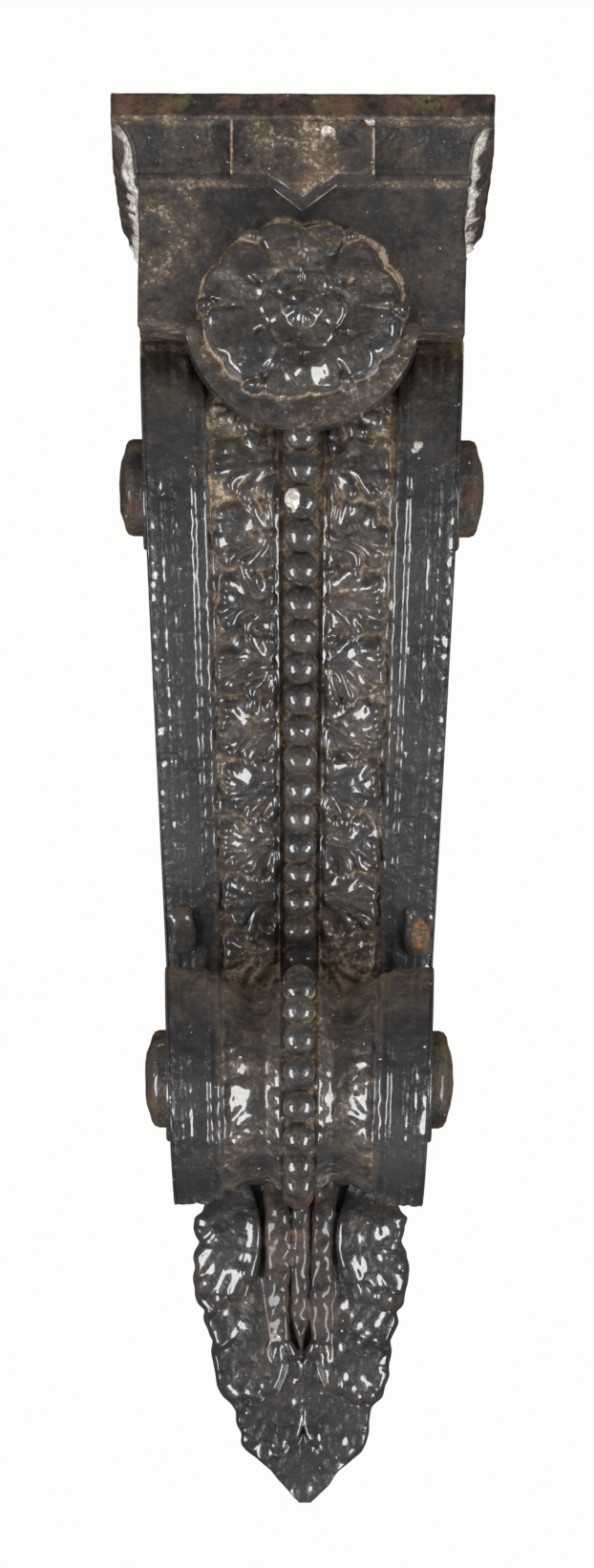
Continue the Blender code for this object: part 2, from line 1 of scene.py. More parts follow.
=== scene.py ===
"""The cast iron corbel as it is today: old gloss paint, dust, rust and lime on a carved casting.

The front faces -Y and the wall is the plane y = 0. Side views are worked out as (forward, up), in metres,
where forward is -y.
"""

import math

import bmesh
import bpy
import numpy as np
from mathutils import Matrix, Vector


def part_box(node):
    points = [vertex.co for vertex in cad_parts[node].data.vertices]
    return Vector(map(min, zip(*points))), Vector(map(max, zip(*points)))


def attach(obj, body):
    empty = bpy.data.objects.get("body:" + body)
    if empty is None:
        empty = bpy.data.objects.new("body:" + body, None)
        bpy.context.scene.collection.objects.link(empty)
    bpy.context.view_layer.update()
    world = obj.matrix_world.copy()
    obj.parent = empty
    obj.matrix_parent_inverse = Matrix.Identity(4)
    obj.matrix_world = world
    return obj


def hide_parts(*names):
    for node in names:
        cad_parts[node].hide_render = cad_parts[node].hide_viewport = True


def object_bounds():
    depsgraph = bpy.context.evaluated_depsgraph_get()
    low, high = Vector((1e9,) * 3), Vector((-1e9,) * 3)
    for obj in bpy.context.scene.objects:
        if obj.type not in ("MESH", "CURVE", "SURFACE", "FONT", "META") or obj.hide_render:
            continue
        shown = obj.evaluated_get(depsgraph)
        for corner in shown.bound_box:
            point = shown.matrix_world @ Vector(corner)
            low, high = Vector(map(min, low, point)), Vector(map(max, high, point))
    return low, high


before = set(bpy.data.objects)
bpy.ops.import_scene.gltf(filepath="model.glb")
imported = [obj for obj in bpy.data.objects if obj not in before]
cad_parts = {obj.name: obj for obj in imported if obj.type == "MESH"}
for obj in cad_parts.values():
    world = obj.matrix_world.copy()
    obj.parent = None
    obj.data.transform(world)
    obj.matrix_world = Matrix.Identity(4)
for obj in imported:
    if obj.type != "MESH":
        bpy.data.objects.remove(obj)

cad_low, cad_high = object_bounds()
casting = "corbel"
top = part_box(casting)[1].z


# Casting behind the ornament
# Grey iron poured in one with everything in front of it. The back is open and stiffened by one cross
# web; it is rough from the sand and was never painted, so it has gone brown.
volute_centre = (0.136, 0.295)
volute_radius = 0.102
drum_centre = (0.1136, -0.0977)
drum_radius = 0.078
volute_half_width = 0.1019
drum_half_width = 0.0846
leaves_volute, meets_drum, leaves_drum = math.radians(-25), math.radians(118), math.radians(-115)
upper_pull, lower_pull = 0.190, 0.095
frieze_bottom = volute_centre[1] + volute_radius - 0.015
frieze_half_width, frieze_forward = 0.106, 0.244
leaf_top = drum_centre[1] - drum_radius
leaf_taper = 0.17
iron_wall, web_thickness, top_plate = 0.011, 0.024, 0.020


def half_width(up):
    """Half the scroll's width at a height: its sides draw in evenly towards the drum."""
    slope = (volute_half_width - drum_half_width) / (volute_centre[1] - drum_centre[1])
    return drum_half_width + slope * (up - drum_centre[1])


def on_circle(centre, radius, angle):
    """Points (forward, up) on a circle, at angles from straight ahead."""
    return np.stack((centre[0] + radius * np.cos(angle), centre[1] + radius * np.sin(angle)), axis=-1)


class Line:
    """A line in side view that is read by the distance along it, with its outward direction."""

    def __init__(self, points):
        self.points = points
        steps = np.linalg.norm(np.diff(points, axis=0), axis=1)
        self.at = np.concatenate(([0.0], np.cumsum(steps)))
        self.length = self.at[-1]
        tangent = np.gradient(points, self.at, axis=0)
        tangent /= np.linalg.norm(tangent, axis=1, keepdims=True)
        self.outward = np.stack((-tangent[:, 1], tangent[:, 0]), axis=-1)

    def read(self, along):
        """The points and the outward directions at some distances along."""
        spots = [np.interp(along, self.at, self.points[:, axis]) for axis in (0, 1)]
        ways = [np.interp(along, self.at, self.outward[:, axis]) for axis in (0, 1)]
        return np.stack(spots, axis=-1), np.stack(ways, axis=-1)

    def inset(self, depth, lowest, highest, spacing=0.006):
        """Points at a depth behind the line, between two heights."""
        spots, ways = self.read(np.arange(0, self.length, spacing))
        inside = spots - depth * ways
        return inside[(inside[:, 1] > lowest) & (inside[:, 1] < highest)]


def scroll_margin():
    """The scroll's edge in side view: round the volute, down one S curve and round the drum."""
    first_angle = math.asin((frieze_bottom + 0.003 - volute_centre[1]) / volute_radius)
    volute = on_circle(volute_centre, volute_radius, np.linspace(first_angle, leaves_volute, 200))
    drum = on_circle(drum_centre, drum_radius, np.linspace(meets_drum, leaves_drum, 400))
    down = [np.array((math.sin(angle), -math.cos(angle))) for angle in (leaves_volute, meets_drum)]
    second, third = volute[-1] + upper_pull * down[0], drum[0] - lower_pull * down[1]
    t = np.linspace(0, 1, 400)[:, None]
    curve = (1 - t) ** 3 * volute[-1] + 3 * t * (1 - t) ** 2 * second
    curve = curve + 3 * t * t * (1 - t) * third + t ** 3 * drum[0]
    return Line(np.vstack((volute[:-1], curve[:-1], drum)))


margin = scroll_margin()
drum_start = margin.length - (meets_drum - leaves_drum) * drum_radius


def link(name, mesh):
    """A new object at the origin that shows the mesh."""
    made = bpy.data.objects.new(name, mesh)
    bpy.context.scene.collection.objects.link(made)
    return made


def carry(mesh, **masks):
    """Gives the mesh some masks, with a value for every point."""
    for word, values in masks.items():
        values = np.ravel(values).astype(np.float32)
        mesh.attributes.new(word, "FLOAT", "POINT").data.foreach_set("value", values)


def closed(name, points, faces, **masks):
    """A closed mesh of points and faces: faces outwards, smooth up to its sharp edges."""
    mesh = bpy.data.meshes.new(name)
    mesh.from_pydata(points.tolist(), [], faces)
    carry(mesh, **masks)
    bm = bmesh.new()
    bm.from_mesh(mesh)
    bmesh.ops.recalc_face_normals(bm, faces=bm.faces[:])
    bm.to_mesh(mesh)
    bm.free()
    smoothed(mesh, 50)
    return link(name, mesh)


def smoothed(mesh, sharpest):
    """Shades the mesh smooth where its faces meet at less than an angle in degrees."""
    mesh.shade_smooth()
    mesh.set_sharp_from_angle(angle=math.radians(sharpest))


def prism(name, outline, half_at):
    """A closed solid with its side view given, and as wide at each height as half_at says."""
    points = [(side * half_at(up), -forward, up) for side in (-1, 1) for forward, up in outline]
    left = np.arange(len(outline))
    right, turned = left + len(outline), np.roll(left, -1)
    quads = np.stack((left, turned, turned + len(outline), right), axis=-1)
    return closed(name, np.array(points), [left.tolist(), right.tolist(), *quads.tolist()])


def settled(piece):
    """Applies the piece's modifiers and shades it smooth up to its sharp edges."""
    shape = piece.evaluated_get(bpy.context.evaluated_depsgraph_get())
    mesh = bpy.data.meshes.new_from_object(shape)
    mesh.name = piece.name
    piece.modifiers.clear()
    piece.data = mesh
    smoothed(mesh, 50)


def combined(piece, tools, operation):
    """Joins the tools to the piece or cuts them out of it, and removes them."""
    for tool in tools:
        modifier = piece.modifiers.new(tool.name, "BOOLEAN")
        modifier.object = tool
        modifier.operation = operation
    settled(piece)
    for tool in tools:
        bpy.data.objects.remove(tool)


def leaf_hollow(up):
    """Half the width of the hollow behind the hanging leaf at a height."""
    return 0.043 - leaf_taper * (leaf_top - iron_wall - up)


def hollows(*words):
    """Some of the hollows of the open back, one behind each part of the front."""
    behind, web = -0.010, web_thickness / 2
    cap_front, cap_high, cap_low = frieze_forward - iron_wall, top - top_plate, frieze_bottom + iron_wall
    scroll_high, leaf_high, leaf_low = frieze_bottom - iron_wall, leaf_top - iron_wall, leaf_top - 0.139
    scroll = margin.inset(iron_wall + 0.015, web, scroll_high)
    drum = margin.inset(iron_wall + 0.0175, leaf_top, -web)
    front, throat_low = scroll[0] - 0.001
    throat_high = cap_low + 0.001
    outlines = {
        "cap": [(behind, cap_high), (cap_front, cap_high), (cap_front, cap_low), (behind, cap_low)],
        "throat": [(behind, throat_high), (front, throat_high), (front, throat_low), (behind, throat_low)],
        "scroll": [(behind, scroll_high), *scroll, (behind, web)],
        "drum": [(behind, -web), *drum, (behind, drum[-1][1])],
        "leaf": [(behind, leaf_high), (0.025, leaf_high), (0.013, leaf_low), (behind, leaf_low)],
    }
    widths = {
        "cap": lambda up: frieze_half_width - iron_wall,
        "throat": lambda up: frieze_half_width - 2 * iron_wall,
        "scroll": lambda up: half_width(up) - iron_wall,
        "drum": lambda up: half_width(up) - iron_wall,
        "leaf": leaf_hollow,
    }
    return [prism("hollow_" + word, outlines[word], widths[word]) for word in words]


class Wire:
    """A shader socket for use in sums: every operator adds a Math node and gives its result."""

    def __init__(self, tree, socket):
        self.tree, self.socket = tree, socket

    def sum(self, operation, first, second):
        node = added(self.tree, "ShaderNodeMath", {"operation": operation})
        for slot, value in zip(node.inputs, (first, second)):
            plug(self.tree, slot, value)
        return Wire(self.tree, node.outputs[0])

    def __add__(self, other):
        return self.sum("ADD", self, other)

    def __sub__(self, other):
        return self.sum("SUBTRACT", self, other)

    def __rsub__(self, other):
        return self.sum("SUBTRACT", other, self)

    def __mul__(self, other):
        return self.sum("MULTIPLY", self, other)

    def at_most(self, other):
        return self.sum("MINIMUM", self, other)

    def at_least(self, other):
        return self.sum("MAXIMUM", self, other)

    __radd__ = __add__
    __rmul__ = __mul__


def plug(tree, slot, value):
    """Sets a socket to a value, or links it to a wire or to another socket."""
    if isinstance(value, Wire):
        value = value.socket
    if isinstance(value, bpy.types.NodeSocket):
        tree.links.new(value, slot)
    else:
        slot.default_value = value


def added(tree, kind, settings=None, **values):
    """A new node with its settings, and with the values or links of its sockets."""
    made = tree.nodes.new(kind)
    for key, value in (settings or {}).items():
        setattr(made, key, value)
    for key, value in values.items():
        name = key.replace("_", " ")
        plug(tree, next(slot for slot in made.inputs if slot.name == name and slot.enabled), value)
    return made


class Finish:
    """A material in Object coordinates, and the one way in which nodes are added to it."""

    def __init__(self, name):
        self.material = bpy.data.materials.new(name)
        self.material.use_nodes = True
        self.tree = self.material.node_tree
        self.surface = self.tree.nodes["Principled BSDF"]
        self.place = self.node("TexCoord", give="Object")

    def node(self, kind, give=None, settings=None, **values):
        """The wire that a new node gives: the output with that name, or else its first one."""
        made = added(self.tree, "ShaderNode" + kind, settings, **values)
        first = next(slot for slot in made.outputs if slot.enabled)
        return Wire(self.tree, made.outputs[give] if give else first)

    def noise(self, size, detail=2.0, roughness=0.5):
        """A grey cloud pattern whose lumps are about as wide as size."""
        values = {"Vector": self.place, "Scale": 0.6 / size, "Detail": detail, "Roughness": roughness}
        return self.node("TexNoise", **values)

    def ramp(self, value, low, high):
        """0 below low and 1 above high, with an eased rise between."""
        settings = {"interpolation_type": "SMOOTHSTEP"}
        return self.node("MapRange", settings=settings, Value=value, From_Min=low, From_Max=high)

    def mix(self, share, first, second):
        """The first colour, turning into the second as the share goes from 0 to 1."""
        first, second = (way if isinstance(way, Wire) else (*way, 1.0) for way in (first, second))
        return self.node("Mix", settings={"data_type": "RGBA"}, Factor=share, A=first, B=second)

    def mask(self, name):
        """A mask that the piece's mesh carries, 0 to 1."""
        return self.node("Attribute", give="Fac", settings={"attribute_name": name})

    def bump(self, height, depth, normal=None):
        """Bumps the surface by a height pattern, 0 to 1, that stands for a depth in metres."""
        lumpy = {"Normal": normal} if normal else {}
        return self.node("Bump", Height=height, Distance=depth, Strength=1.0, **lumpy)

    def paint(self, **values):
        """Sets what the surface itself is like."""
        for key, value in values.items():
            plug(self.tree, self.surface.inputs[key.replace("_", " ")], value)


def rusty_iron():
    """Sand-cast iron that was never painted: brown rust, darker in the pits, with lime dust on it, and near
    black below the drum's arch, which is painted shade.
    """
    made = Finish("rusty_iron")
    broad, fine = made.noise(0.030, 4.0, 0.6), made.noise(0.004, 3.0, 0.6)
    colour = made.mix(made.ramp(broad, 0.35, 0.65), (0.060, 0.030, 0.017), (0.145, 0.062, 0.026))
    colour = made.mix(made.ramp(fine, 0.55, 0.75) * 0.6, colour, (0.020, 0.015, 0.012))
    lime = made.ramp(made.noise(0.018, 5.0, 0.7), 0.60, 0.68)
    colour = made.mix(lime * 0.5, colour, (0.34, 0.31, 0.26))
    # Painted shade: near black on the iron's front and underside below the drum's arch, for the shadow in
    # the deep gap there.
    y = made.node("SeparateXYZ", give="Y", Vector=made.place)
    z = made.node("SeparateXYZ", give="Z", Vector=made.place)
    painted_shade_under_arch = made.ramp(y, -0.015, -0.030) * made.ramp(z, -0.138, -0.149)
    colour = made.mix(painted_shade_under_arch, colour, (0.010, 0.009, 0.008))
    rough = made.bump(fine, 0.0012, made.bump(broad, 0.003))
    made.paint(Base_Color=colour, Roughness=0.8 + 0.15 * fine, Normal=rough, Metallic=0.1)
    return made.material


def dressed(piece, material):
    """Gives the piece its material and makes it a part of the casting."""
    piece.data.materials.clear()
    piece.data.materials.append(material)
    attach(piece, "root")
    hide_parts(casting)


def casting_back():
    """The plain iron behind the ornament, with the open hollows of the back."""
    carved, cove, skin = 0.018, 0.0205, 0.006
    lowest = margin.points[-1, 1] + 0.002
    spots, ways = margin.read(np.arange(0, drum_start, 0.006))
    front = spots - carved * ways
    front = front[front[:, 1] < frieze_bottom]
    inside_drum = drum_centre[1] + 0.038
    outline = [(0.0, frieze_bottom), *front, (front[-1][0], inside_drum), (0.0, inside_drum)]
    made = prism("casting_back", outline, lambda up: half_width(up) - skin)
    drum = on_circle(drum_centre, drum_radius - cove, np.linspace(math.radians(125), leaves_drum, 40))
    outline = [(0.0, drum[0][1]), *drum[drum[:, 1] > lowest], (0.0, lowest)]
    drum_block = prism("drum_block", outline, lambda up: half_width(up) - skin)
    high, low = leaf_top + 0.010, leaf_top - 0.150
    outline = [(0.0, high), (0.034, high), (0.020, low), (0.0, low)]
    leaf_block = prism("leaf_block", outline, lambda up: 0.054 - leaf_taper * (high - up))
    combined(made, [drum_block, leaf_block], "UNION")
    combined(made, hollows("scroll", "throat", "drum", "leaf"), "DIFFERENCE")
    return made


rust_finish = rusty_iron()
dressed(casting_back(), rust_finish)


# Beaded scroll
# The front of the bracket: plain margins, thin rolls, stepped bands and a sunk panel of small leaves on
# both sides of a bead channel. It was carved in the pattern and cast, then painted many times.
bead_share = 0.1163
first_bead_height = volute_centre[1] + 0.021
drum_beads, drum_bead_first, drum_bead_turn = 11, math.radians(94.1), math.radians(18.2)
field_depth = 0.004
arris = 0.0018
leaf_inner, leaf_outer = 0.16, 0.585
leaf_unit_width, leaf_unit_height = 0.043, 0.044
leaf_relief = 0.0092
scroll_columns, coarse, fine = 175, 0.00116, 0.00108
chips = (
    (-94, 224, 1.6), (74, 305, 2.2), (59, 208, 1.7), (69, 179, 1.4), (89, 187, 1.2),
    (-90, 130, 1.5), (-89, 110, 1.1), (70, 118, 1.1), (-67, 141, 1.1),
)


def eased(low, high, value):
    """0 at low and 1 at high, with an eased rise between."""
    share = np.clip((value - low) / (high - low), 0.0, 1.0)
    return share * share * (3 - 2 * share)


def bead_places():
    """The distances along the margin of the bead centres, from under the rosette to below the drum."""
    along = float(np.interp(-first_bead_height, -margin.points[:300, 1], margin.at[:300]))
    places = []
    while along < drum_start - 2 * bead_share * drum_half_width:
        places.append(along)
        along += 2 * bead_share * half_width(margin.read(along)[0][1])
    for bead in range(drum_beads):
        turned = meets_drum - drum_bead_first + bead * drum_bead_turn
        places.append(drum_start + turned * drum_radius)
    return np.array(places)


bead_at = bead_places()


def bead_number(along):
    """How many beads lie above a place, with fractions between two of them."""
    more, count = 10, len(bead_at)
    first, last = bead_at[1] - bead_at[0], bead_at[-1] - bead_at[-2]
    at = np.concatenate(([bead_at[0] - more * first], bead_at, [bead_at[-1] + more * last]))
    return np.interp(along, at, np.concatenate(([-more], np.arange(count), [count - 1 + more])))


def unevenness(points, size, seed):
    """A smooth random field, about -1 to 1, with lumps about as wide as size."""
    random = np.random.default_rng(seed)
    total = np.zeros(points.shape[:-1])
    waves = 16
    for _ in range(waves):
        way = random.normal(size=3)
        way *= 2 * math.pi / (np.linalg.norm(way) * size * random.uniform(1.2, 3.0))
        total += np.sin(points @ way + random.uniform(0, 2 * math.pi))
    return total / math.sqrt(waves)


def round_top(far):
    """Height of a round top, 1 where far is 0 and none from 1 outwards."""
    return np.sqrt(np.clip(1 - far, 0.0, 1.0))


def dome(x, y, start, end, start_width, end_width, bow=0.0):
    """Height, 0 to 1, of a ridge from start to end, round at both, widening and bowed sideways."""
    run = np.array(end) - np.array(start)
    length = math.hypot(*run)
    ahead = ((x - start[0]) * run[0] + (y - start[1]) * run[1]) / length
    aside = ((y - start[1]) * run[0] - (x - start[0]) * run[1]) / length
    share = np.clip(ahead / length, 0.0, 1.0)
    width = start_width + (end_width - start_width) * share
    off = np.hypot(ahead - share * length, aside - bow * 4 * share * (1 - share))
    return round_top((off / width) ** 2)


def profile_depth(share):
    """How deep the mouldings lie below the margin at a share of the half width, with softened arrises."""
    shape = (
        (0.0, 13.5), (0.128, 13.5), (0.138, 9.6), (0.156, 9.6), (0.166, 14.5), (0.2, 14.5),
        (0.56, 9.6), (0.585, 9.0), (0.597, 6.0), (0.61, 4.2), (0.683, 4.0), (0.69, 1.6), (0.705, 1.0),
        (0.805, 1.0), (0.812, 2.0), (0.82, 2.0), (0.826, 0.6), (0.842, 0.5), (0.848, 1.2), (0.854, 0.4),
        (0.87, 0.3), (0.876, 1.4), (0.886, 1.4), (0.894, 0.0), (0.935, 0.0), (0.955, 0.35), (0.98, 1.1),
        (1.0, 2.2),
    )
    table = np.linspace(0, 1, 2001)
    depth = np.interp(table, *np.array(shape).T) / 1000
    spread = np.exp(-np.linspace(-2.5, 2.5, 41) ** 2)
    padded = np.pad(depth, 20, mode="edge")
    return np.interp(share, table, np.convolve(padded, spread / spread.sum(), mode="valid"))


def small_leaves(across, number, side):
    """Height, 0 to 1, of the leaves beside the beads: each, two beads long, fans out from a short stem."""
    fingers, pitch = 8, leaf_unit_height * 1000
    fan = np.round((number - 1) / 2)
    x = across * leaf_unit_width * 1000
    y = ((number - 1) / 2 - fan) * pitch
    place = np.stack((x * side, y + fan * pitch, 0 * x), axis=-1)
    x = x + 2.4 * unevenness(place, 17, 61) + 1.0 * unevenness(place, 8, 63)
    y = y + 2.4 * unevenness(place, 15, 62) + 1.0 * unevenness(place, 8, 64)
    height = np.zeros_like(x)
    for neighbour in (-1, 0, 1):
        beside = y - neighbour * pitch
        body = round_top(((x - 18) / 23) ** 4 + (beside / 21.5) ** 4)
        height = np.maximum(height, (0.50 + 0.10 * unevenness(place, 9, 65)) * body)
        for finger in range(fingers):
            turn = math.radians(-92 + 184 * finger / (fingers - 1))
            squared = (abs(math.cos(turn)) ** 3 + abs(math.sin(turn)) ** 3) ** (1 / 3)
            tip_x = 3 + 33.0 * math.cos(turn) / squared + 1.5 * (-1) ** finger
            tip_y = 18.5 * math.sin(turn) / squared
            bow = 3.4 * math.sin(2 * turn)
            out = np.clip(np.hypot(x, beside) / math.hypot(tip_x, tip_y), 0, 1)
            ridge = dome(x, beside, (0, 0), (tip_x, tip_y), 1.4, 5.2, -bow)
            lifted = 0.46 + 0.38 * out ** 1.5 + 0.16 * eased(-4, 8, tip_y)
            height = np.maximum(height, lifted * ridge ** 0.6)
        height = np.maximum(height, 0.80 * dome(x, beside, (-6, 0), (17, 0), 4.0, 3.0) ** 0.6)
    return height


def blurred(field, steps):
    """The field with each value averaged with its neighbours, some steps wide."""
    for _ in range(steps):
        grown = np.pad(field, 1, mode="edge")
        field = (grown[:-2, 1:-1] + grown[2:, 1:-1] + grown[1:-1, :-2] + grown[1:-1, 2:]) / 4
    return field


def carved_depth(place, along):
    """How far the carving lies below the margin, at places from -1 to 1 across the scroll's front."""
    share = np.abs(place)
    depth = profile_depth(share)
    fillet = np.where((share > 0.128) & (share < 0.166), 0.0015, 0.0)
    cove = 0.0175 * eased(0.76, 0.33, share) - 0.0060 * eased(0.27, 0.15, share) - fillet
    on_drum = eased(drum_start - 0.020, drum_start, along)
    depth = depth + (np.where(share < 0.2, cove, np.maximum(depth, cove)) - depth) * on_drum
    across = (share - leaf_inner) / (leaf_outer - leaf_inner)
    inside = eased(0.0, 0.05, across) * eased(1.0, 0.93, across)
    leaves = small_leaves(np.clip(across, 0, 1), bead_number(along) + 0 * across, np.sign(place)) * inside
    at_crotch = eased(0.100, 0.050, np.abs(along - drum_start - 0.035))
    depth = depth - leaf_relief * leaves * (1 - 0.82 * on_drum) * (1 - 0.80 * at_crotch)
    return blurred(depth * eased(0, 0.025, along), 1)


def shell(name, surface, back, **masks):
    """A closed mesh: a surface of rows and columns, skirts to two back points a row, and flat ends."""
    rows, columns = surface.shape[:2]
    points = np.vstack((surface.reshape(-1, 3), back.reshape(-1, 3)))
    grid = np.arange(rows * columns).reshape(rows, columns)
    behind = rows * columns + np.arange(rows * 2).reshape(rows, 2)
    quads = [np.stack((grid[:-1, :-1], grid[:-1, 1:], grid[1:, 1:], grid[1:, :-1]), -1).reshape(-1, 4)]
    quads.append(np.stack((behind[:-1, 0], grid[:-1, 0], grid[1:, 0], behind[1:, 0]), -1))
    quads.append(np.stack((grid[:-1, -1], behind[:-1, 1], behind[1:, 1], grid[1:, -1]), -1))
    quads.append(np.stack((behind[:-1, 1], behind[:-1, 0], behind[1:, 0], behind[1:, 1]), -1))
    faces = np.vstack(quads).tolist()
    faces.append([behind[0, 0], behind[0, 1], *grid[0, ::-1]])
    faces.append([behind[-1, 1], behind[-1, 0], *grid[-1]])
    carried = {word: np.pad(np.ravel(values), (0, rows * 2)) for word, values in masks.items()}
    made = closed(name, points, faces, **carried)
    smoothed(made.data, 60)
    return made


def in_space(x, forward, up):
    """Points from their x, their distance ahead of the wall and their height, on one common grid."""
    return np.stack(np.broadcast_arrays(x, -forward, up), axis=-1)


def straight_back(surface, y):
    """Two back points for each row of a surface, straight behind its first and last points."""
    back = np.stack((surface[:, 0], surface[:, -1]), axis=1)
    back[..., 1] = y
    return back


def rim_profile():
    """How far the scroll's rim stands in from the side, at depths from its rounded arris to the field."""
    rounded = [(arris * (1 - math.sin(a)), arris * (1 - math.cos(a))) for a in np.radians((20, 45, 70))]
    moulding = (
        (0.0, 0.0), (0.0040, 0.0), (0.0052, 0.0012), (0.0092, 0.0012), (0.0104, -0.0002),
        (0.0125, -0.0004), (0.0142, 0.0002), (0.0150, field_depth), (0.0152, field_depth + 0.002),
    )
    depths = np.concatenate((np.linspace(arris, 0.0142, 12), (0.0150, 0.0152)))
    rim = rounded + list(zip(np.interp(depths, *np.array(moulding).T), depths))
    return np.array(rim).T


def scroll_masks(surface, depth, share, along):
    """Dust in the carving, under the cap and above the drum, and pale chips and broken lower corners."""
    crevice = np.clip((depth - blurred(depth, 24)) / 0.0022, 0, 1)
    pocket = eased(0.070, 0.012, np.abs(along - drum_start + 0.010)) * eased(0.72, 0.50, share)
    under_cap = 0.9 * eased(0.040, 0.012, along) + 0.4 * eased(0.12, 0.04, along) * eased(0.7, 0.5, share)
    sheltered = 0.55 + 0.30 * eased(0.26, 0.12, along)
    inside = (0.7 * crevice + 0.45 * eased(0.18, 0.13, share) + 0.22 * eased(0.60, 0.56, share)) * sheltered
    inside += 0.05 * eased(0.62, 0.56, share) * eased(drum_start, drum_start + 0.05, along)
    clean = 0.34 * eased(0.60, 0.66, share) * eased(0.05, 0.13, along)
    dust = np.clip(inside + 0.95 * pocket + under_cap, 0, 1) - clean
    broken = eased(margin.length - 0.014, margin.length - 0.004, along) * eased(0.78, 0.88, share)
    pale = 0.80 * broken * eased(-0.2, 0.5, unevenness(surface, 0.009, 5))
    at = 1000 * (surface + 0.0012 * unevenness(surface, 0.004, 7)[..., None])
    for chip_x, chip_up, size in chips:
        away = np.hypot(at[..., 0] - chip_x, 0.6 * (at[..., 2] - chip_up))
        pale = np.maximum(pale, 0.72 * eased(size + 0.5, size - 0.5, away))
    return {"dust": dust, "lime": pale}


def scroll_front(name, low, high, spacing):
    """One stretch of the scroll's carved front, round both arrises on to the rims of its sides."""
    inset, deep = rim_profile()
    rim = len(inset)
    along = np.linspace(low, high, round((high - low) / spacing) + 1)[:, None]
    across = np.linspace(-1, 1, scroll_columns)[None, :]
    spots, ways = margin.read(along[:, 0])
    half_here = half_width(spots[:, 1])[:, None]
    depth = carved_depth(across * (half_here - arris) / half_here, along)
    beside = np.tile(deep, (len(along), 1))
    depth = np.hstack((beside[:, ::-1], depth, beside))
    place = spots[:, None, :] - depth[..., None] * ways[:, None, :]
    half = half_width(place[..., 1])
    front = across * (half[:, rim:-rim] - arris)
    x = np.hstack((inset[::-1] - half[:, :rim], front, half[:, -rim:] - inset))
    surface = in_space(x, place[..., 0], place[..., 1])
    share = np.abs(x) / half
    lumps = 0.00045 * unevenness(surface, 0.012, 3) + 0.00030 * unevenness(surface, 0.0055, 4)
    lumps *= 0.80 + 0.20 * eased(0.74, 0.60, share)
    lumps += 0.0004 * unevenness(surface, 0.009, 9) * eased(drum_start, drum_start + 0.03, along)
    surface[..., 1] -= lumps * ways[:, :1]
    surface[..., 2] += lumps * ways[:, 1:]
    chipped = np.clip(unevenness(surface[-1], 0.010, 6) + 0.6, 0, 1.5)
    chipped *= eased(0.060, 0.076, np.abs(surface[-1, :, 0]))
    surface[..., 2] += 0.0035 * chipped * eased(margin.length - 0.016, margin.length, along)
    inner, inner_half = 0.0225, 0.0100
    behind = spots - inner * ways
    wide = half_width(behind[:, 1]) - inner_half
    back = np.stack([in_space(side * wide, behind[:, 0], behind[:, 1]) for side in (-1, 1)], axis=1)
    return shell(name, surface, back, **scroll_masks(surface, depth, share, along))


def black_paint():
    """Thick gloss paint over old iron: lumpy, filmed with brown dirt that is thickest in the hollows, with
    pale flecks that are partly dust and partly painted glints, and painted shade at the hanging leaf's tip.
    """
    made = Finish("black_paint")
    lumps, drips, broad = made.noise(0.0030, 1.0), made.noise(0.007, 1.0), made.noise(0.040, 4.0, 0.65)
    speck, smear = made.noise(0.0018, 3.0, 0.7), made.noise(0.014, 8.0, 0.80)
    dust = made.mask("dust")
    # A dust mask below 0 thins the film and darkens the paint: cleaner margins on the scroll, and painted
    # shade at the hanging leaf's tip.
    film = made.ramp(smear * 0.7 + speck * 0.3 + dust.at_most(0.0) * 0.30, 0.42, 0.62) * 0.50
    dirt = made.ramp(dust * 0.9 + smear * 1.1 - 0.55, 0.12, 0.75)
    up = made.node("SeparateXYZ", give="Z", Vector=made.node("NewGeometry", give="Normal"))
    ledge = made.ramp(up, 0.35, 0.95) * made.ramp(smear, 0.38, 0.60)
    colour = made.mix(made.ramp(broad, 0.3, 0.7), (0.014, 0.014, 0.0155), (0.028, 0.027, 0.027))
    colour = made.mix(film, colour, (0.080, 0.062, 0.047))
    colour = made.mix(dirt * 0.85, colour, (0.092, 0.063, 0.040))
    crust = made.ramp(dust * 0.27 + smear * 0.75 + speck * 0.55, 0.79, 0.94)
    colour = made.mix(crust * 0.75, colour, (0.30, 0.235, 0.170))
    colour = made.mix(ledge * 0.65, colour, (0.13, 0.092, 0.058))
    bare = made.mask("rust")
    rust = (bare * 1.5 + smear - 0.75).at_most(1.0).at_least(0.0)
    worn = made.mix(made.ramp(smear, 0.42, 0.64), (0.013, 0.010, 0.009), (0.062, 0.032, 0.020))
    worn = made.mix(made.ramp(bare, 1.05, 1.30), worn, (0.165, 0.070, 0.042))
    mossy = made.ramp(broad, 0.50, 0.60) * made.ramp(speck, 0.40, 0.55)
    colour = made.mix(rust, colour, made.mix(mossy, worn, (0.050, 0.041, 0.018)))
    # Pale flecks at random over the paint: partly dust specks, partly painted glints.
    dust_fleck_and_glint = made.ramp(made.noise(0.0024, 2.0), 0.72, 0.77)
    colour = made.mix(dust_fleck_and_glint * 0.8, colour, (0.40, 0.36, 0.31))
    lime = (made.mask("lime") * 1.5 + smear * 1.2 - 0.85).at_most(1.0).at_least(0.0)
    chalk = made.mix(made.ramp(speck, 0.40, 0.60), (0.24, 0.21, 0.18), (0.52, 0.50, 0.46))
    colour = made.mix(lime, colour, chalk)
    dull = (dirt * 0.8 + crust * 0.8 + ledge * 0.8 + rust + lime).at_most(1.0)
    normal = made.bump(drips, 0.0010, made.bump(broad, 0.002))
    normal = made.bump(speck, 0.0007, made.bump(lumps, 0.0011, normal))
    made.paint(Base_Color=colour, Roughness=0.34 + dull * 0.44, Normal=normal)
    made.paint(Coat_Weight=0.80 - dull * 0.80, Coat_Roughness=0.06, Specular_IOR_Level=0.25)
    return made.material


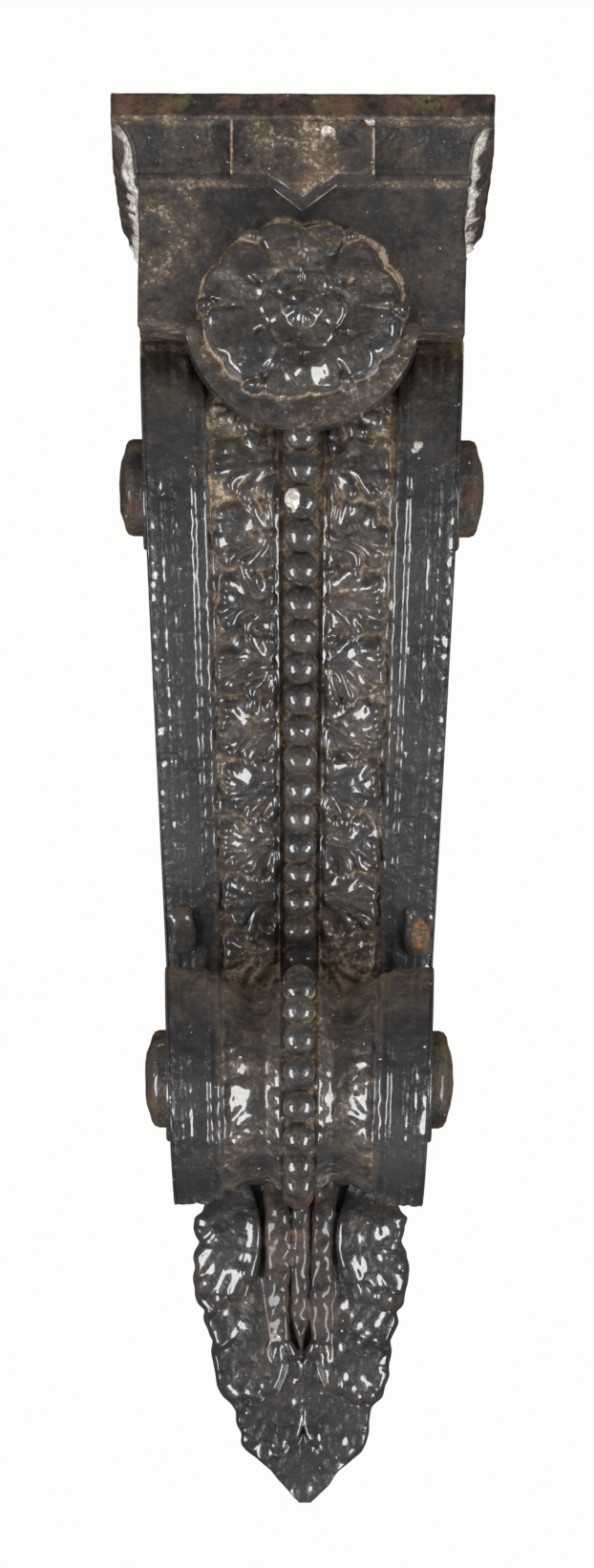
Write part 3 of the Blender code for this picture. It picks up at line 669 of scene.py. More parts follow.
paint_finish = black_paint()
overlap = 0.004
dressed(scroll_front("scroll_front", 0.0, drum_start + overlap, coarse), paint_finish)
dressed(scroll_front("drum_front", drum_start - overlap, margin.length, fine), paint_finish)


# Bead string
# Cast iron beads in a row down the channel, each a little proud of the small leaves and all but touching
# the next. They are balls on points, by Geometry Nodes, which old paint has left lumpy.
bead_sink, bead_fill, drum_fill = 0.008, 0.520, 0.480


def bead_spots():
    """Each bead's centre, its turn about the cross axis and its radius."""
    spots, ways = margin.read(bead_at)
    spots = spots - bead_sink * ways
    gaps = np.linalg.norm(np.diff(spots, axis=0), axis=1)
    gaps = np.minimum(np.append(gaps, gaps[-1]), np.insert(gaps, 0, gaps[0]))
    fill = np.where(bead_at > drum_start + 0.02, drum_fill, bead_fill)
    return spots, np.arctan2(ways[:, 0], ways[:, 1]), fill * gaps


def bead_tree(finish):
    """Geometry Nodes: a lumpy ball on every point, sized and turned by the point."""
    tree = bpy.data.node_groups.new("bead_string", "GeometryNodeTree")
    inputs = {"Geometry": "Geometry", "Segments": "Int", "Lump size": "Float", "Lump height": "Float"}
    for word, kind in inputs.items():
        tree.interface.new_socket(word, in_out="INPUT", socket_type="NodeSocket" + kind)
    tree.interface.new_socket("Geometry", in_out="OUTPUT", socket_type="NodeSocketGeometry")

    def add(kind, settings=None, **values):
        return added(tree, kind, settings, **values)

    given = add("NodeGroupInput").outputs
    ball = add("GeometryNodeMeshIcoSphere", Radius=1.0, Subdivisions=given["Segments"])
    radius, turn = (add("GeometryNodeInputNamedAttribute", Name=word) for word in ("radius", "turn"))
    about = add("ShaderNodeCombineXYZ", X=turn.outputs[0])
    rotation = add("FunctionNodeEulerToRotation", Euler=about.outputs[0])
    beads = add(
        "GeometryNodeInstanceOnPoints", Points=given["Geometry"], Instance=ball.outputs["Mesh"],
        Rotation=rotation.outputs[0], Scale=radius.outputs[0],
    )
    real = add("GeometryNodeRealizeInstances", Geometry=beads.outputs[0])
    pattern = add(
        "ShaderNodeTexNoise", {"noise_dimensions": "4D"}, W=3.0, Scale=given["Lump size"], Detail=1.0,
    )
    centred = add("ShaderNodeVectorMath", {"operation": "SUBTRACT"})
    tree.links.new(pattern.outputs["Color"], centred.inputs[0])
    centred.inputs[1].default_value = (0.5, 0.5, 0.5)
    shift = add("ShaderNodeVectorMath", {"operation": "SCALE"}, Scale=given["Lump height"])
    tree.links.new(centred.outputs[0], shift.inputs[0])
    moved = add("GeometryNodeSetPosition", Geometry=real.outputs[0], Offset=shift.outputs[0])
    smooth = add("GeometryNodeSetShadeSmooth", Geometry=moved.outputs[0])
    painted = add("GeometryNodeSetMaterial", Geometry=smooth.outputs[0], Material=finish)
    tree.links.new(painted.outputs[0], add("NodeGroupOutput").inputs["Geometry"])
    return tree


def points_of(mesh):
    """The mesh's points, as rows of x, y and z."""
    points = np.zeros(len(mesh.vertices) * 3)
    mesh.vertices.foreach_get("co", points)
    return points.reshape(-1, 3)


def bead_string():
    """The beads as one mesh, made by the node tree from a point for each."""
    spots, turns, radii = bead_spots()
    mesh = bpy.data.meshes.new("bead_string")
    mesh.from_pydata([(0.0, -forward, up) for forward, up in spots], [], [])
    carry(mesh, radius=radii, turn=turns)
    made = link("bead_string", mesh)
    tree = bead_tree(paint_finish)
    modifier = made.modifiers.new("beads", "NODES")
    modifier.node_group = tree
    sizes = {"Segments": 4, "Lump size": 120.0, "Lump height": 0.0016}
    for item in tree.interface.items_tree:
        if item.name in sizes:
            modifier[item.identifier] = sizes[item.name]
    settled(made)
    points = points_of(made.data)
    flat = np.stack((-points[:, 1], points[:, 2]), axis=-1)
    nearest = np.argmin(np.linalg.norm(flat[:, None, :] - spots[None, :, :], axis=2), axis=1)
    ways = margin.read(bead_at)[1][nearest]
    height = np.sum((flat - spots[nearest]) * ways, axis=1) / radii[nearest]
    drum_bead = (bead_at[nearest] > drum_start + 0.02) * (flat[:, 1] < drum_centre[1] + 0.040)
    dust = 0.9 * eased(0.45, -0.35, height) * (1 - 0.6 * drum_bead)
    x, _, up = (points + 0.0015 * unevenness(points, 0.005, 8)[:, None]).T
    from_chip = np.hypot((x + 0.0062) / 0.0040, (up - spots[2, 1]) / 0.0085)
    chip = 1.2 * eased(1.15, 0.9, from_chip) * (points[:, 0] < 0)
    bare = 1.05 * eased(-0.167, -0.172, up) * eased(0.012, 0.008, np.abs(x))
    carry(made.data, dust=dust, lime=chip, rust=bare)
    return made


dressed(bead_string(), paint_finish)


# Sides of the scroll
# Flat iron cheeks with a sunk field, a plain rim at the back, and a moulded band that winds in to each
# eye. Cast with the rest and painted the same; the eyes have lost most of their paint.
back_rim = 0.012
cheek = 0.0095
band_wide, band_narrow = 0.015, 0.009
eye_radius, seat_width, eye_facets = 0.032, 0.009, 72
volute_eye_out, drum_eye_out = 0.018, 0.016
drum_eye = (drum_centre[0], drum_centre[1] + 0.0045)
sides = ((-1, "left"), (1, "right"))
cheek_top = frieze_bottom + 0.004
wall_gap = 0.0005


def swept(name, loops, **masks):
    """A closed mesh through loops of points, each with as many points as the next, with flat ends."""
    loops = np.array(loops)
    rows, columns = loops.shape[:2]
    grid = np.arange(rows * columns).reshape(rows, columns)
    turned = np.roll(grid, -1, axis=1)
    faces = np.stack((grid[:-1], turned[:-1], turned[1:], grid[1:]), -1).reshape(-1, 4).tolist()
    faces += [grid[0, ::-1].tolist(), grid[-1].tolist()]
    return closed(name, loops.reshape(-1, 3), faces, **masks)


def cheek_plate(side):
    """The sunk field of one side, from inside the rims to the plain rim along the back."""
    line = margin.inset(0.010, leaf_top + 0.006, cheek_top, 0.004)
    outline = [(wall_gap, cheek_top), (line[0][0], cheek_top), *line, (wall_gap, line[-1][1])]
    loops = []
    for depth in (field_depth, cheek):
        loops.append([(side * (half_width(up) - depth), -forward, up) for forward, up in outline])
    return swept("field", loops)


def rim_behind(side):
    """The flat rim along the wall."""
    section = (
        (-cheek, wall_gap), (-0.0008, wall_gap), (0.0, 0.0013), (0.0, back_rim - 0.0015),
        (-0.0010, back_rim), (-field_depth - 0.001, back_rim + 0.0006), (-cheek, back_rim),
    )
    heights = np.linspace(margin.points[-1, 1], cheek_top, 60)
    loops = [[(side * (half_width(up) + out), -forward, up) for out, forward in section] for up in heights]
    return swept("rim", loops)


def spiral_band(side, centre, radii, angles):
    """A moulded band that winds in to an eye: a fillet, a hollow and a roll."""
    section = (
        (0.0, -0.0060), (0.0, -0.0008), (0.05, 0.0002), (0.26, 0.0002), (0.33, -0.0010), (0.48, -0.0017),
        (0.62, -0.0012), (0.68, 0.0000), (0.76, 0.0004), (0.88, 0.0004), (0.97, -0.0004), (1.0, -0.0020),
        (1.0, -0.0060),
    )
    loops = []
    for share in np.linspace(0, 1, round(abs(angles[1] - angles[0]) / 3)):
        angle = math.radians(angles[0] + (angles[1] - angles[0]) * share)
        outer = radii[0] + (radii[1] - radii[0]) * share
        width = band_wide + (band_narrow - band_wide) * share
        loops.append([])
        for across, height in section:
            forward, up = on_circle(centre, outer - width * across, angle)
            loops[-1].append((side * (half_width(up) + height), -forward, up))
    return swept("band", loops)


def eye(side, centre, out):
    """The boss at the middle of a scroll, on a stepped seat, turned about the cross axis."""
    face, seat = out - 0.0045, eye_radius + seat_width
    section = (
        (seat, -0.006), (seat, 0.0006), (seat - 0.001, 0.0016),
        (eye_radius + 0.0035, 0.0018), (eye_radius + 0.0025, 0.0008), (eye_radius + 0.0006, 0.0010),
        (eye_radius, 0.0030), (eye_radius, face - 0.005), (eye_radius - 0.0012, face - 0.0018),
        (eye_radius - 0.004, face), (eye_radius - 0.009, face + 0.0012),
        (eye_radius - 0.015, face + 0.0032), (eye_radius - 0.022, face + 0.0042), (0.003, face + 0.0045),
    )
    angles = np.linspace(0, 2 * math.pi, eye_facets, endpoint=False)
    loops, bare = [], []
    for radius, height in section:
        ring = on_circle(centre, radius, angles)
        x = side * (half_width(centre[1]) + height)
        loops.append(in_space(x, ring[:, 0], ring[:, 1]))
        worn = 0.75 if height > face - 0.003 else 0.55 * (height > 0.0025)
        bare.append(np.clip(worn + 0.5 * unevenness(loops[-1], 0.02, 11) * (worn > 0), 0, 1))
    loops = np.array(loops)
    loops += 0.0003 * unevenness(loops, 0.010, 12)[..., None] * np.array((side, 0, 0))
    return swept("eye", loops, rust=np.array(bare))


def merged(name, pieces):
    """Several closed meshes as one piece."""
    with bpy.context.temp_override(active_object=pieces[0], selected_editable_objects=pieces):
        bpy.ops.object.join()
    pieces[0].name = name
    pieces[0].data.name = name
    return pieces[0]


last_turn = eye_radius + seat_width - 0.001
for side, word in sides:
    parts = [cheek_plate(side), rim_behind(side)]
    parts.append(spiral_band(side, volute_centre, (volute_radius - 0.003, last_turn), (60, 600)))
    parts.append(spiral_band(side, drum_centre, (drum_radius - 0.003, last_turn), (-105, -475)))
    dressed(merged("cheek_" + word, parts), paint_finish)
    bosses = [eye(side, volute_centre, volute_eye_out), eye(side, drum_eye, drum_eye_out)]
    dressed(merged("eyes_" + word, bosses), paint_finish)


# Pads above the drum
# Two rounded blocks on the margins, where the scroll curls forward into the drum. Cast with it and painted,
# with a bare rusty patch on the right one; each is a cube with wide bevels, made lumpy.
pad_length, pad_width, pad_height, pad_up = 0.038, 0.020, 0.016, 0.009


def pad(side, word):
    """One pad: a block with well rounded edges, leaning with the margin it lies on."""
    along = float(np.interp(-pad_up, -margin.points[:620, 1], margin.at[:620]))
    spot, way = margin.read(along)
    lean = math.atan2(way[1], way[0])
    bm = bmesh.new()
    bmesh.ops.create_cube(bm, size=1.0)
    bmesh.ops.scale(bm, verts=bm.verts[:], vec=(pad_width, pad_height, pad_length))
    bmesh.ops.bevel(bm, geom=bm.edges[:], offset=pad_height / 2.3, segments=5, profile=0.5, affect="EDGES")
    bmesh.ops.subdivide_edges(bm, edges=bm.edges[:], cuts=4, use_grid_fill=True)
    for vert in bm.verts:
        spot_here = np.array(vert.co) + side
        vert.co += vert.normal * float(0.0012 * unevenness(spot_here, 0.010, 13) - 0.0010)
    turn = Matrix.Rotation(-lean, 3, "X")
    bmesh.ops.rotate(bm, verts=bm.verts[:], cent=(0, 0, 0), matrix=turn)
    x = side * (half_width(pad_up) - pad_width / 2 - 0.0006)
    bmesh.ops.translate(bm, verts=bm.verts[:], vec=(x, -spot[0], spot[1]))
    mesh = bpy.data.meshes.new("pad_" + word)
    bm.to_mesh(mesh)
    bm.free()
    mesh.shade_smooth()
    from_patch = (points_of(mesh) - (x + 0.001, -spot[0] - 0.008, spot[1] - 0.004)) * (1.6, 0.5, 0.85)
    carry(mesh, rust=1.5 * eased(0.0110, 0.0085, np.linalg.norm(from_patch, axis=1)) * (side > 0))
    return link("pad_" + word, mesh)


for side, word in sides:
    dressed(pad(side, word), paint_finish)


# Hanging leaf
# An acanthus leaf below the drum, cast with it: a central stem, two long ribs and overlapping lobes down
# both edges, each a fan of rounded fingers. It thins towards the tip, and its back is hollowed.
leaf_drop, leaf_in_drum = leaf_top - cad_low.z - 0.0002, 0.030
leaf_outline = (
    (-30, 62), (0, 66), (3, 71.5), (12, 70.5), (19, 67.2), (25, 70.5), (42, 71.3), (54, 70), (60, 68),
    (64, 63.5), (72, 64.5), (80, 61.5), (84, 59.5), (90, 61), (98, 59), (106, 57.8), (116, 56), (121, 54),
    (126, 47.5), (130, 45), (138, 43.5), (152, 41), (158, 38), (163, 31), (169, 23), (176, 18.5),
    (182, 13), (188, 7.5), (193, 1.0),
)
leaf_lobes = (
    (15.0, (-38, -18), 6.0, 5.0, (
        (-65, 35, 8), (-63, 47, 8.5), (-54, 57, 8), (-44, 54, 7), (-35, 42, 6.5),
    )),
    (12.0, (-46, -16), 6.0, 2.0, ((-64, 5, 7), (-66, 14, 7), (-60, 21, 6))),
    (8.5, (-28, 36), 5.0, 4.0, ((-58, 73, 7), (-54, 81, 7), (-45, 84, 6.5), (-37, 76, 5.5))),
    (13.5, (-19, 58), 7.5, 4.0, (
        (-53, 98, 8), (-52, 110, 8), (-43, 117, 8), (-32, 119, 7.5), (-22, 114, 7),
    )),
    (9.0, (-6, 100), 6.0, 3.0, (
        (-39, 136, 8), (-37, 149, 8), (-28, 156, 7.5), (-17, 153, 7.5), (-8, 148, 6),
    )),
    (7.0, (0, 140), 9.0, 1.0, ((-22, 164, 9), (-13, 176, 9), (-1, 184, 9))),
)


def leaf_shape(x, drop):
    """The leaf's carving, in mm above its ground, at places in mm across and down."""
    place = np.stack((x, drop, 0 * x), axis=-1)
    x = np.abs(x + 1.8 * unevenness(place, 26, 23))
    drop = drop + 1.8 * unevenness(place, 22, 24)
    height = np.ones_like(x)
    for rise, base, start_width, bow, tips in leaf_lobes:
        for tip_x, tip_drop, width in tips:
            reach = math.hypot(tip_x - base[0], tip_drop - base[1])
            out = np.clip(np.hypot(x + base[0], drop - base[1]) / reach, 0, 1)
            finger = dome(x, drop, (-base[0], base[1]), (-tip_x, tip_drop), start_width, width, bow)
            height = np.maximum(height, rise * (0.45 + 0.55 * out ** 1.3) * finger ** 0.36)
    rib = dome(x, drop, (16, -30), (15, 88), 7.6, 8.6)
    height = np.maximum(height, 11.0 * rib ** 0.4)
    for start, end, widths in (((17, 90), (17, 95), (7.0, 6.5)), ((9, 88), (7, 93), (4.5, 4.5))):
        height = np.maximum(height, 12.5 * dome(x, drop, start, end, *widths) ** 0.6)
    return height


def bared(piece, inside):
    """Marks as bare iron the faces that never were painted: the walls of a hollow and the wall side."""
    points = points_of(piece.data)
    marks = piece.data.attributes["rust"].data
    values = np.zeros(len(points))
    marks.foreach_get("value", values)
    never_painted = inside(np.abs(points[:, 0]), -points[:, 1], points[:, 2])
    marks.foreach_set("value", np.where(never_painted, 0.9, values))


def hanging_leaf():
    """The leaf as a carved front down to its tip, with sides that run straight back to the wall."""
    rows, columns, length = 300, 181, leaf_drop * 1000
    drop = np.linspace(-leaf_in_drum * 1000, length, rows)[:, None]
    half = np.interp(drop[:, 0], *np.array(leaf_outline).T)
    half = np.convolve(np.pad(half, 2, mode="edge"), np.ones(5) / 5, mode="valid")[:, None]
    side = np.linspace(-1, 1, columns)[None, :]
    edge_place = np.stack((30 * np.sign(side) + 0 * drop, drop + 0 * side, 0 * drop * side), axis=-1)
    x = side * (half + 0.8 * unevenness(edge_place, 7, 25) * eased(length, 180, drop))
    carved = leaf_shape(x, drop + 0 * x)
    bed = 3.5 * dome(x, drop, (0, -30), (0, 62), 22, 15) ** 0.4
    stem = np.maximum(dome(x, drop, (0, -30), (0, 70), 6.6, 6.4), dome(x, drop, (0, 70), (0, 90), 6.4, 1.6))
    carved = blurred(np.maximum(np.maximum(carved, bed), 10.5 * stem ** 0.5), 2)
    gone = np.clip(drop / 193, 0, 1)
    spine = 22 + 38 * (1 - gone) ** 1.3 - 7 * eased(14, -14, drop)
    forward = spine - 17 * (np.abs(x) / 71.5) ** 2 * (1 - 0.5 * gone) + carved - 9.0
    at_edge = 1 - eased(1.0, 0.955, np.abs(side))
    forward = np.maximum(forward - 4.0 * at_edge, 5.0) / 1000
    leaning = 1.4 + 3.6 * eased(60, 193, drop)
    surface = in_space((x + leaning) / 1000, forward, leaf_top - drop / 1000)
    ribbed = eased(28, 24, np.abs(x)) * eased(100, 80, drop)
    surface[..., 1] -= 0.0006 * unevenness(surface, 0.010, 21) + 0.0003 * unevenness(surface, 0.005, 22)
    surface[..., 1] -= 0.0008 * unevenness(surface, 0.0075, 27) * ribbed
    crevice = np.clip((blurred(carved, 20) - carved) / 3.5, 0, 1)
    # The last term thins the brown film towards the tip, so the tip is darker: painted shade.
    dust = 0.40 * ribbed + 0.30 * crevice - 0.20 - 0.3 * eased(130, 170, drop)
    broken = 1.1 * eased(10, 5, np.hypot(x, drop + 14))
    bare = np.maximum(broken, 0.50 * ribbed)
    made = shell("hanging_leaf", surface, straight_back(surface, -0.0004), dust=dust, rust=bare)
    combined(made, hollows("leaf"), "DIFFERENCE")
    bared(made, lambda x, ahead, up: (ahead < 0.001) | (
        (ahead < 0.026) & (x < leaf_hollow(up) + 0.0005) & (up > leaf_top - 0.1395)
    ))
    return made


dressed(hanging_leaf(), paint_finish)


# Cap
# A plain block under a cornice: foot fillet, hollow and square abacus on three sides. The abacus is rusty
# under thin dirt, and old lime from the wall clings to both sides behind the front edges.
frieze_top = frieze_bottom + 0.094
foot_height, foot_proud = 0.006, 0.002
cavetto_bottom = frieze_top + foot_height
abacus_bottom = cavetto_bottom + 0.032
abacus_half_width, abacus_forward, abacus_lip = 0.1245, 0.264, 0.0025
rosette_up = frieze_bottom + 0.010
rosette_disc = 0.0765
petals = 6
crust_out = 0.0142


def flower_reach(angle):
    """The flower's outline: its radius in mm at an angle from the top, each petal with a point."""
    oval = 1 / np.hypot(np.sin(angle) / 65.5, np.cos(angle) / 57.5)
    lobes = np.abs(np.sin(petals * angle))
    return oval * (0.94 + 0.06 * lobes ** 0.7)


def cap_profile():
    """The moulding's section: heights, and how far each stands out at the sides and in front."""
    frieze = np.array((frieze_half_width, frieze_forward))
    abacus = np.array((abacus_half_width, abacus_forward))
    foot, hollow = frieze + foot_proud, abacus_bottom - cavetto_bottom
    rows = [(frieze_bottom, frieze - 0.0015)]
    rows += [(up, frieze) for up in np.linspace(frieze_bottom + 0.0015, frieze_top - 0.0005, 62)]
    rows += [(frieze_top + 0.001, foot - 0.0004), (frieze_top + 0.002, foot), (frieze_top + 0.004, foot)]
    rows += [(cavetto_bottom - 0.0005, foot), (cavetto_bottom + 0.0004, foot - 0.0006)]
    for turn in np.radians(np.linspace(4, 90, 24)):
        out = (abacus - abacus_lip - foot) * (1 - math.cos(turn))
        rows.append((cavetto_bottom + hollow * math.sin(turn), foot + out))
    rows.append((abacus_bottom + 0.0004, abacus - 0.0006))
    rows += [(up, abacus) for up in np.linspace(abacus_bottom + 0.0012, top - 0.0012, 12)]
    rows += [(top - 0.0003, abacus - 0.0004), (top, abacus - 0.0014)]
    return np.array([(up, *out) for up, out in rows])


def cap_masks(surface, up, flared, crusted, side):
    """Dust round the flower, low down and on the ledges, rust on the abacus, and lime on the torn crust."""
    x = surface[..., 0]
    from_flower = np.hypot(x, up - rosette_up) * 1000 - flower_reach(np.arctan2(x, up - rosette_up))
    ring = eased(6.5, 2.0, from_flower + 2.2 * unevenness(surface, 0.022, 34)) * ~side
    low = eased(frieze_bottom + 0.016, frieze_bottom + 0.002, up)
    ledges = eased(0.006, 0.001, np.abs(up - abacus_bottom))
    ledges += eased(0.005, 0.001, np.abs(up - frieze_top + 0.001))
    splashed = eased(-0.045, -0.075, x) * eased(0.400, 0.420, up) * eased(frieze_top, frieze_top - 0.01, up)
    dust = np.clip(ring + 0.3 * low + 0.45 * ledges + 0.36 * splashed * ~side, 0, 1)
    rusty = eased(abacus_bottom + 0.001, abacus_bottom + 0.004, up)
    crust = eased(0.35, 0.60, flared + 0.15 * unevenness(surface, 0.012, 33)) * crusted
    lime = 0.75 * eased(0.03, 0.16, flared) * (1 - crust)
    lime *= eased(abacus_bottom + 0.002, abacus_bottom - 0.006, up)
    return {"dust": dust, "rust": np.clip(rusty + 0.6 * crust, 0, 1), "lime": lime}


def cap():
    """The block and its cornice, hollow behind."""
    section = cap_profile()
    up, half, ahead = (section[:, k][:, None] for k in range(3))
    rounded, wall_side, side_columns, front_columns = 0.0012, 0.0002, 64, 190
    back_share = np.linspace(0, 1, side_columns)[None, :] ** 0.7
    turn = np.radians((22.5, 45, 67.5))[None, :]
    side_x, side_y = half + 0 * back_share, wall_side + (ahead - rounded - wall_side) * back_share
    corner_x, corner_y = half - rounded * (1 - np.cos(turn)), ahead - rounded * (1 - np.sin(turn))
    front_x = np.linspace(-1, 1, front_columns)[None, :] * (half - rounded)
    x = np.hstack((-side_x, -corner_x, front_x, corner_x[:, ::-1], side_x))
    y = np.hstack((side_y, corner_y, ahead + 0 * front_x, corner_y[:, ::-1], side_y[:, ::-1]))
    at = in_space(x, y, up)
    ragged = 0.005 * unevenness(at, 0.009, 37) + 0.003 * unevenness(at, 0.005, 38)
    flared = eased(0.462, 0.500, up + ragged) * eased(0.002, 0.034, ahead - y) * (np.abs(x) > half - 0.0001)
    flare = np.minimum(crust_out * flared, abacus_half_width - half)
    reach = np.abs(x) + flare
    worn = np.clip(0.00045 * (1 + unevenness(at, 0.016, 31)), 0.0, None)
    worn += np.clip(0.0007 * unevenness(at, 0.005, 32), 0.0, None) * (up > abacus_bottom)
    side = np.abs(x) > half - rounded
    x = np.where(side & (flare > 0), np.sign(x) * reach, x)
    x = x - np.sign(x) * worn * side
    y = np.clip(y - worn * ~side, wall_side, None)
    surface = in_space(x, y, up)
    back = np.stack((surface[:, 0], surface[:, -1]), axis=1)
    made = shell("cap", surface, back, **cap_masks(surface, up, flared, flare > 0, side))
    combined(made, hollows("cap", "throat"), "DIFFERENCE")
    inner_half, inner_front = frieze_half_width - iron_wall + 0.001, frieze_forward - iron_wall + 0.001
    bared(made, lambda x, ahead, up: (x < inner_half) & (ahead < inner_front) & (up < top - 0.01))
    return made


dressed(cap(), paint_finish)


# Key panel
# The plain middle of the cornice: a flat panel that fills the hollow and ends below in a blunt point, with
# a sloping soffit back to the block. Cast iron under dusty paint that flakes off below the abacus.
key_half_width, key_point_half_width = 0.0465, 0.0225
key_face = abacus_forward - 0.0022
flake_heights = ((0.008, 0.002), (0.014, 0.006))


def key_panel():
    """The panel's face, then its soffit, which follows the point."""
    columns, face_rows, soffit_rows = 120, 60, 24
    x = np.linspace(-key_half_width, key_half_width, columns)[None, :]
    point = np.clip(1 - np.abs(x) / key_point_half_width, 0, 1)
    arris_up = cavetto_bottom - 0.0033 - 0.0149 * point
    low_up = frieze_top - 0.0013 - 0.0180 * point
    high_up = abacus_bottom + 0.002
    face = np.linspace(0, 1, face_rows)[:, None]
    face_up = high_up + (arris_up - high_up) * face
    face_forward = key_face - 0.0005 * eased(0.97, 1.0, face)
    soffit = np.linspace(0.03, 1, soffit_rows)[:, None]
    soffit_up = arris_up + (low_up - arris_up) * soffit
    drop = key_face - 0.0015 - frieze_forward
    soffit_forward = frieze_forward + 0.0015 + drop * (1 - eased(0, 0.85, soffit))
    soffit_forward -= 0.004 * eased(0.9, 1.0, soffit)
    up = np.vstack((face_up, soffit_up))
    ahead = np.vstack((face_forward + 0 * x, soffit_forward + 0 * x))
    edge = eased(key_half_width, key_half_width - 0.0012, np.abs(x))
    ahead = ahead - 0.0012 * (1 - edge)
    surface = in_space(x, ahead, up)
    surface[..., 1] += 0.00035 * (1 + unevenness(surface, 0.013, 41))
    lumpy = eased(0.006, 0.001, np.abs(up - arris_up)) + (up < arris_up)
    surface[..., 1] += 0.0004 * (1 + unevenness(surface, 0.006, 44)) * lumpy
    under_abacus = [eased(abacus_bottom - low, abacus_bottom - high, up) for low, high in flake_heights]
    right_half = eased(-0.006, 0.006, x)
    rust = 1.2 * eased(0.1, 0.7, unevenness(surface, 0.012, 43)) * under_abacus[0] * right_half
    lime = 0.8 * eased(0.55, 0.85, unevenness(surface, 0.008, 46)) * under_abacus[1] * right_half
    returns = eased(key_half_width - 0.0022, key_half_width - 0.0008, np.abs(x))
    dust = 0.46 + 0.14 * unevenness(surface, 0.025, 42)
    dust += returns * (0.40 + 0.30 * unevenness(surface, 0.020, 45))
    dust[len(face) :] *= 0.25
    back = straight_back(surface, 0.004 - frieze_forward)
    return shell("key_panel", surface, back, dust=np.clip(dust, 0, 1), rust=rust, lime=lime)


dressed(key_panel(), paint_finish)


# Rosette
# An open flower on a round disc that stands in front of the block and hangs below it: six petals with
# double, curled ends round a knob of small leaves. Cast with the block and clogged with paint and dirt.
rosette_proud = 0.004


def crease(off, width):
    """A soft groove or ridge, 1 at its middle and fading off to both sides."""
    return np.exp(-(off / width) ** 2)


def rosette_height(radius, angle):
    """Height in mm above the disc, at a radius in mm and an angle from the top."""
    sector = 2 * math.pi / petals
    place = np.stack((radius * np.sin(angle), radius * np.cos(angle), 0 * radius), axis=-1)
    radius = radius + 1.8 * unevenness(place, 24, 53) * eased(5, 30, radius)
    angle = angle + 0.060 * unevenness(place, 34, 54)
    reach = flower_reach(angle)
    off_middle = (angle + sector / 2) % sector - sector / 2
    off_joint = sector / 2 - np.abs(off_middle)
    out = radius / reach
    curled = round_top(((out - 0.91) / 0.09).clip(0, 1) ** 2)
    body = 5.2 + 4.0 * eased(0.25, 0.58, out) - 3.0 * eased(0.66, 1.0, out)
    body += 2.4 * np.cos(3 * off_middle) ** 2 * eased(0.35, 0.65, out)
    body += 1.0 * np.cos(12 * off_middle) * eased(0.55, 0.75, out)
    joint = 5.5 * crease(off_joint * radius, 0.8 + 2.8 * out ** 3) * eased(0.60, 0.98, out)
    fold = 0.7 * crease(off_joint * radius, 2.5) * eased(0.35, 0.50, out)
    slit = 5.0 * crease(off_middle * radius, 2.2) * eased(28, 31, radius) * eased(41, 35, radius)
    petal = np.clip(body * curled - joint - slit - fold, 0, None)
    tips = 9.8 * round_top(np.hypot(off_joint * radius, radius - reach - 0.5) ** 2 / 5.5 ** 2)
    dip = np.abs(np.sin(off_joint * petals / 2))
    ring = (6.4 + 3.0 * eased(13, 25, radius)) * eased(30, 26.5, radius + 3.5 * dip)
    ring -= 2.0 * crease(off_middle * radius, 1.8) * eased(14, 18, radius)
    knob = (11.5 - 1.4 * eased(3, 9, radius) * np.cos(6 * angle)) * round_top((radius / 13.5) ** 4)
    return np.maximum(np.maximum(petal, tips), np.maximum(ring, knob))


def rosette():
    """The disc and flower, as rings of points round the middle."""
    face, sunk = frieze_forward + rosette_proud, 1000 * rosette_proud + 4.0
    facets, rings, steps = 480, 96, 12
    angles = np.linspace(0, 2 * math.pi, facets, endpoint=False)[None, :]
    edge = 1000 * rosette_disc
    radius = np.concatenate((np.linspace(0.4, edge - 1.2, rings), (edge - 0.5, edge)))[:, None] + 0 * angles
    height = rosette_height(radius, angles + 0 * radius)
    crevice = np.clip((blurred(height, 14) - height) / 2.2, 0, 1)
    height = blurred(height, 2)
    height[-1] -= 0.8
    x, up = radius / 1000 * np.sin(angles), rosette_up + radius / 1000 * np.cos(angles)
    outside = eased(0.5, 2.5, radius - flower_reach(angles)) * (height < 1.0)
    height -= sunk * outside * eased(frieze_bottom - 0.002, frieze_bottom + 0.008, up)
    forward = np.minimum(face + height / 1000, 0.2632)
    surface = in_space(x, forward, up)
    lumps = 0.0013 * unevenness(surface, 0.016, 51) + 0.00045 * unevenness(surface, 0.006, 52)
    surface[..., 1] -= lumps
    rim = np.tile(surface[-1], (steps, 1, 1))
    going_back = (np.arange(steps) / (steps - 1))[:, None] ** 1.5
    rim[..., 1] += 0.0017 + (-volute_centre[0] - rim[..., 1]) * going_back
    upper = 0.28 * eased(rosette_up - 0.010, rosette_up + 0.035, up)
    dust = 0.7 * crevice + 0.30 * outside + upper
    dust = np.vstack((dust, np.full((steps, dust.shape[1]), 0.25)))
    made = swept("rosette", np.concatenate((surface, rim)), dust=np.clip(dust, 0, 1))
    combined(made, hollows("cap", "throat", "scroll"), "DIFFERENCE")
    return made


dressed(rosette(), paint_finish)


# Floor, light and camera
# A plain pale floor well below the piece, two soft boxes low in front and a soft fill, and the camera
# a little below the middle of the piece, looking up at it.
def floor():
    """A pale matt sheet on the ground, which the gloss paint doesn't mirror."""
    height, reach = -1.50, 4.0
    mesh = bpy.data.meshes.new("floor")
    corners = [(x * reach, y * reach, height) for x, y in ((-1, -1), (1, -1), (1, 1), (-1, 1))]
    mesh.from_pydata(corners, [], [(0, 1, 2, 3)])
    made = link("floor", mesh)
    sheet = Finish("pale_floor")
    sheet.paint(Base_Color=(0.80, 0.80, 0.79, 1.0), Roughness=0.6)
    mesh.materials.append(sheet.material)
    made.visible_glossy = False


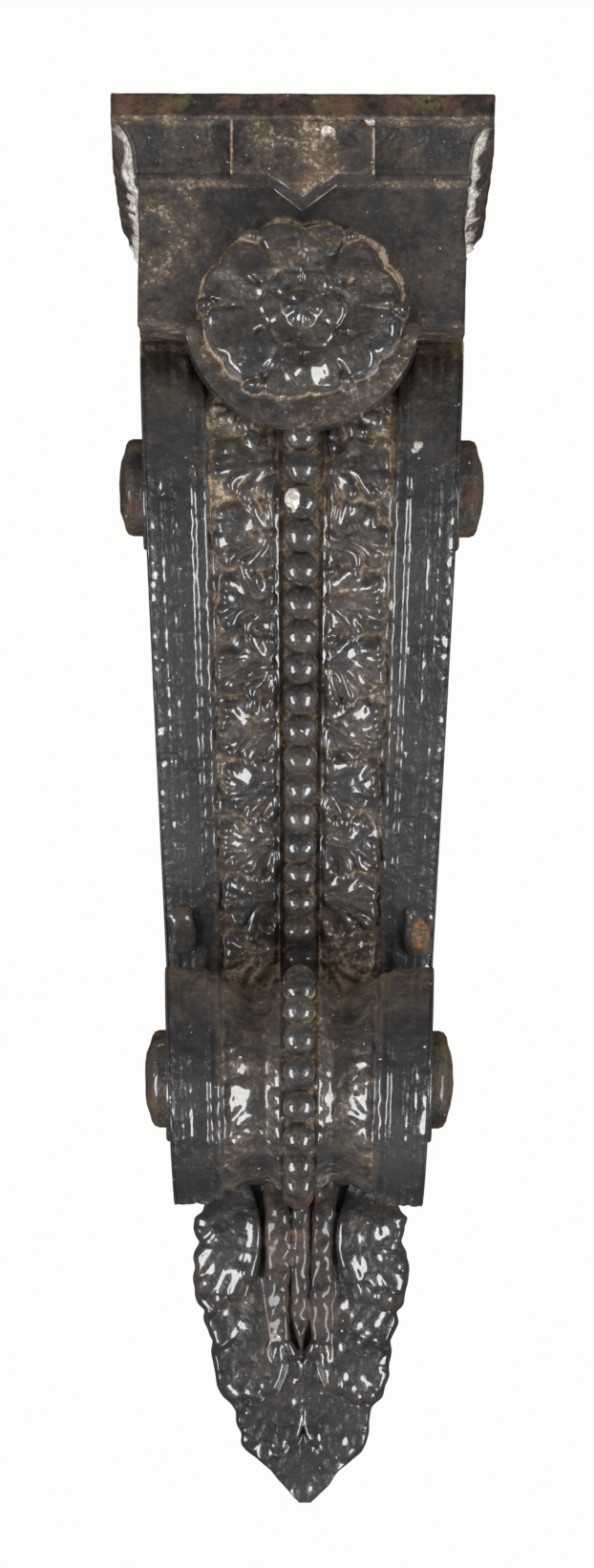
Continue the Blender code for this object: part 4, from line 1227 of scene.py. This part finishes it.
def soft_box(name, place, target, width, height, power, mirrored=True):
    """A large soft lamp that faces the piece, and whether glossy surfaces mirror it."""
    data = bpy.data.lights.new(name, "AREA")
    data.shape = "RECTANGLE"
    data.size, data.size_y, data.energy = width, height, power
    made = bpy.data.objects.new(name, data)
    made.location = place
    made.visible_glossy = mirrored
    made.rotation_euler = (Vector(target) - Vector(place)).to_track_quat("-Z", "Y").to_euler()
    bpy.context.scene.collection.objects.link(made)


def backdrop():
    """White to the camera, and greys for the even light and for what the piece reflects."""
    world = bpy.data.worlds.new("studio")
    bpy.context.scene.world = world
    world.use_nodes = True
    tree = world.node_tree
    path, mirrored = tree.nodes.new("ShaderNodeLightPath"), tree.nodes["Background"]
    mirrored.inputs["Color"].default_value = (0.05, 0.05, 0.052, 1.0)
    light = mirrored.outputs[0]
    colours = {"Is Diffuse Ray": (0.46, 0.46, 0.46, 1.0), "Is Camera Ray": (0.98, 0.98, 0.975, 1.0)}
    for ray, colour in colours.items():
        seen = added(tree, "ShaderNodeBackground", Color=colour)
        blend = added(tree, "ShaderNodeMixShader", Fac=path.outputs[ray])
        tree.links.new(light, blend.inputs[1])
        tree.links.new(seen.outputs[0], blend.inputs[2])
        light = blend.outputs[0]
    tree.links.new(light, tree.nodes["World Output"].inputs["Surface"])


def camera():
    """A long lens in front of the piece, below its middle and tilted up."""
    place, tilt = Vector((0.0, -4.4393, -0.4449)), math.radians(7.2)
    data = bpy.data.cameras.new("camera")
    data.sensor_fit, data.sensor_height, data.sensor_width, data.lens = "VERTICAL", 36.0, 36.0, 152.07
    made = bpy.data.objects.new("camera", data)
    made.location = place
    made.rotation_euler = (math.radians(90) + tilt, math.radians(-0.22), 0.0)
    bpy.context.scene.collection.objects.link(made)
    bpy.context.scene.camera = made


floor()
middle = (0.0, -0.15, 0.08)
for side, word in sides:
    soft_box(word + "_box", (1.6 * side, -1.15, -0.70), middle, 0.8, 1.5, 68)
soft_box("top_box", (0.0, -2.2, 2.4), middle, 1.6, 1.2, 48, mirrored=False)
backdrop()
camera()
bpy.context.scene.view_settings.view_transform = "Standard"
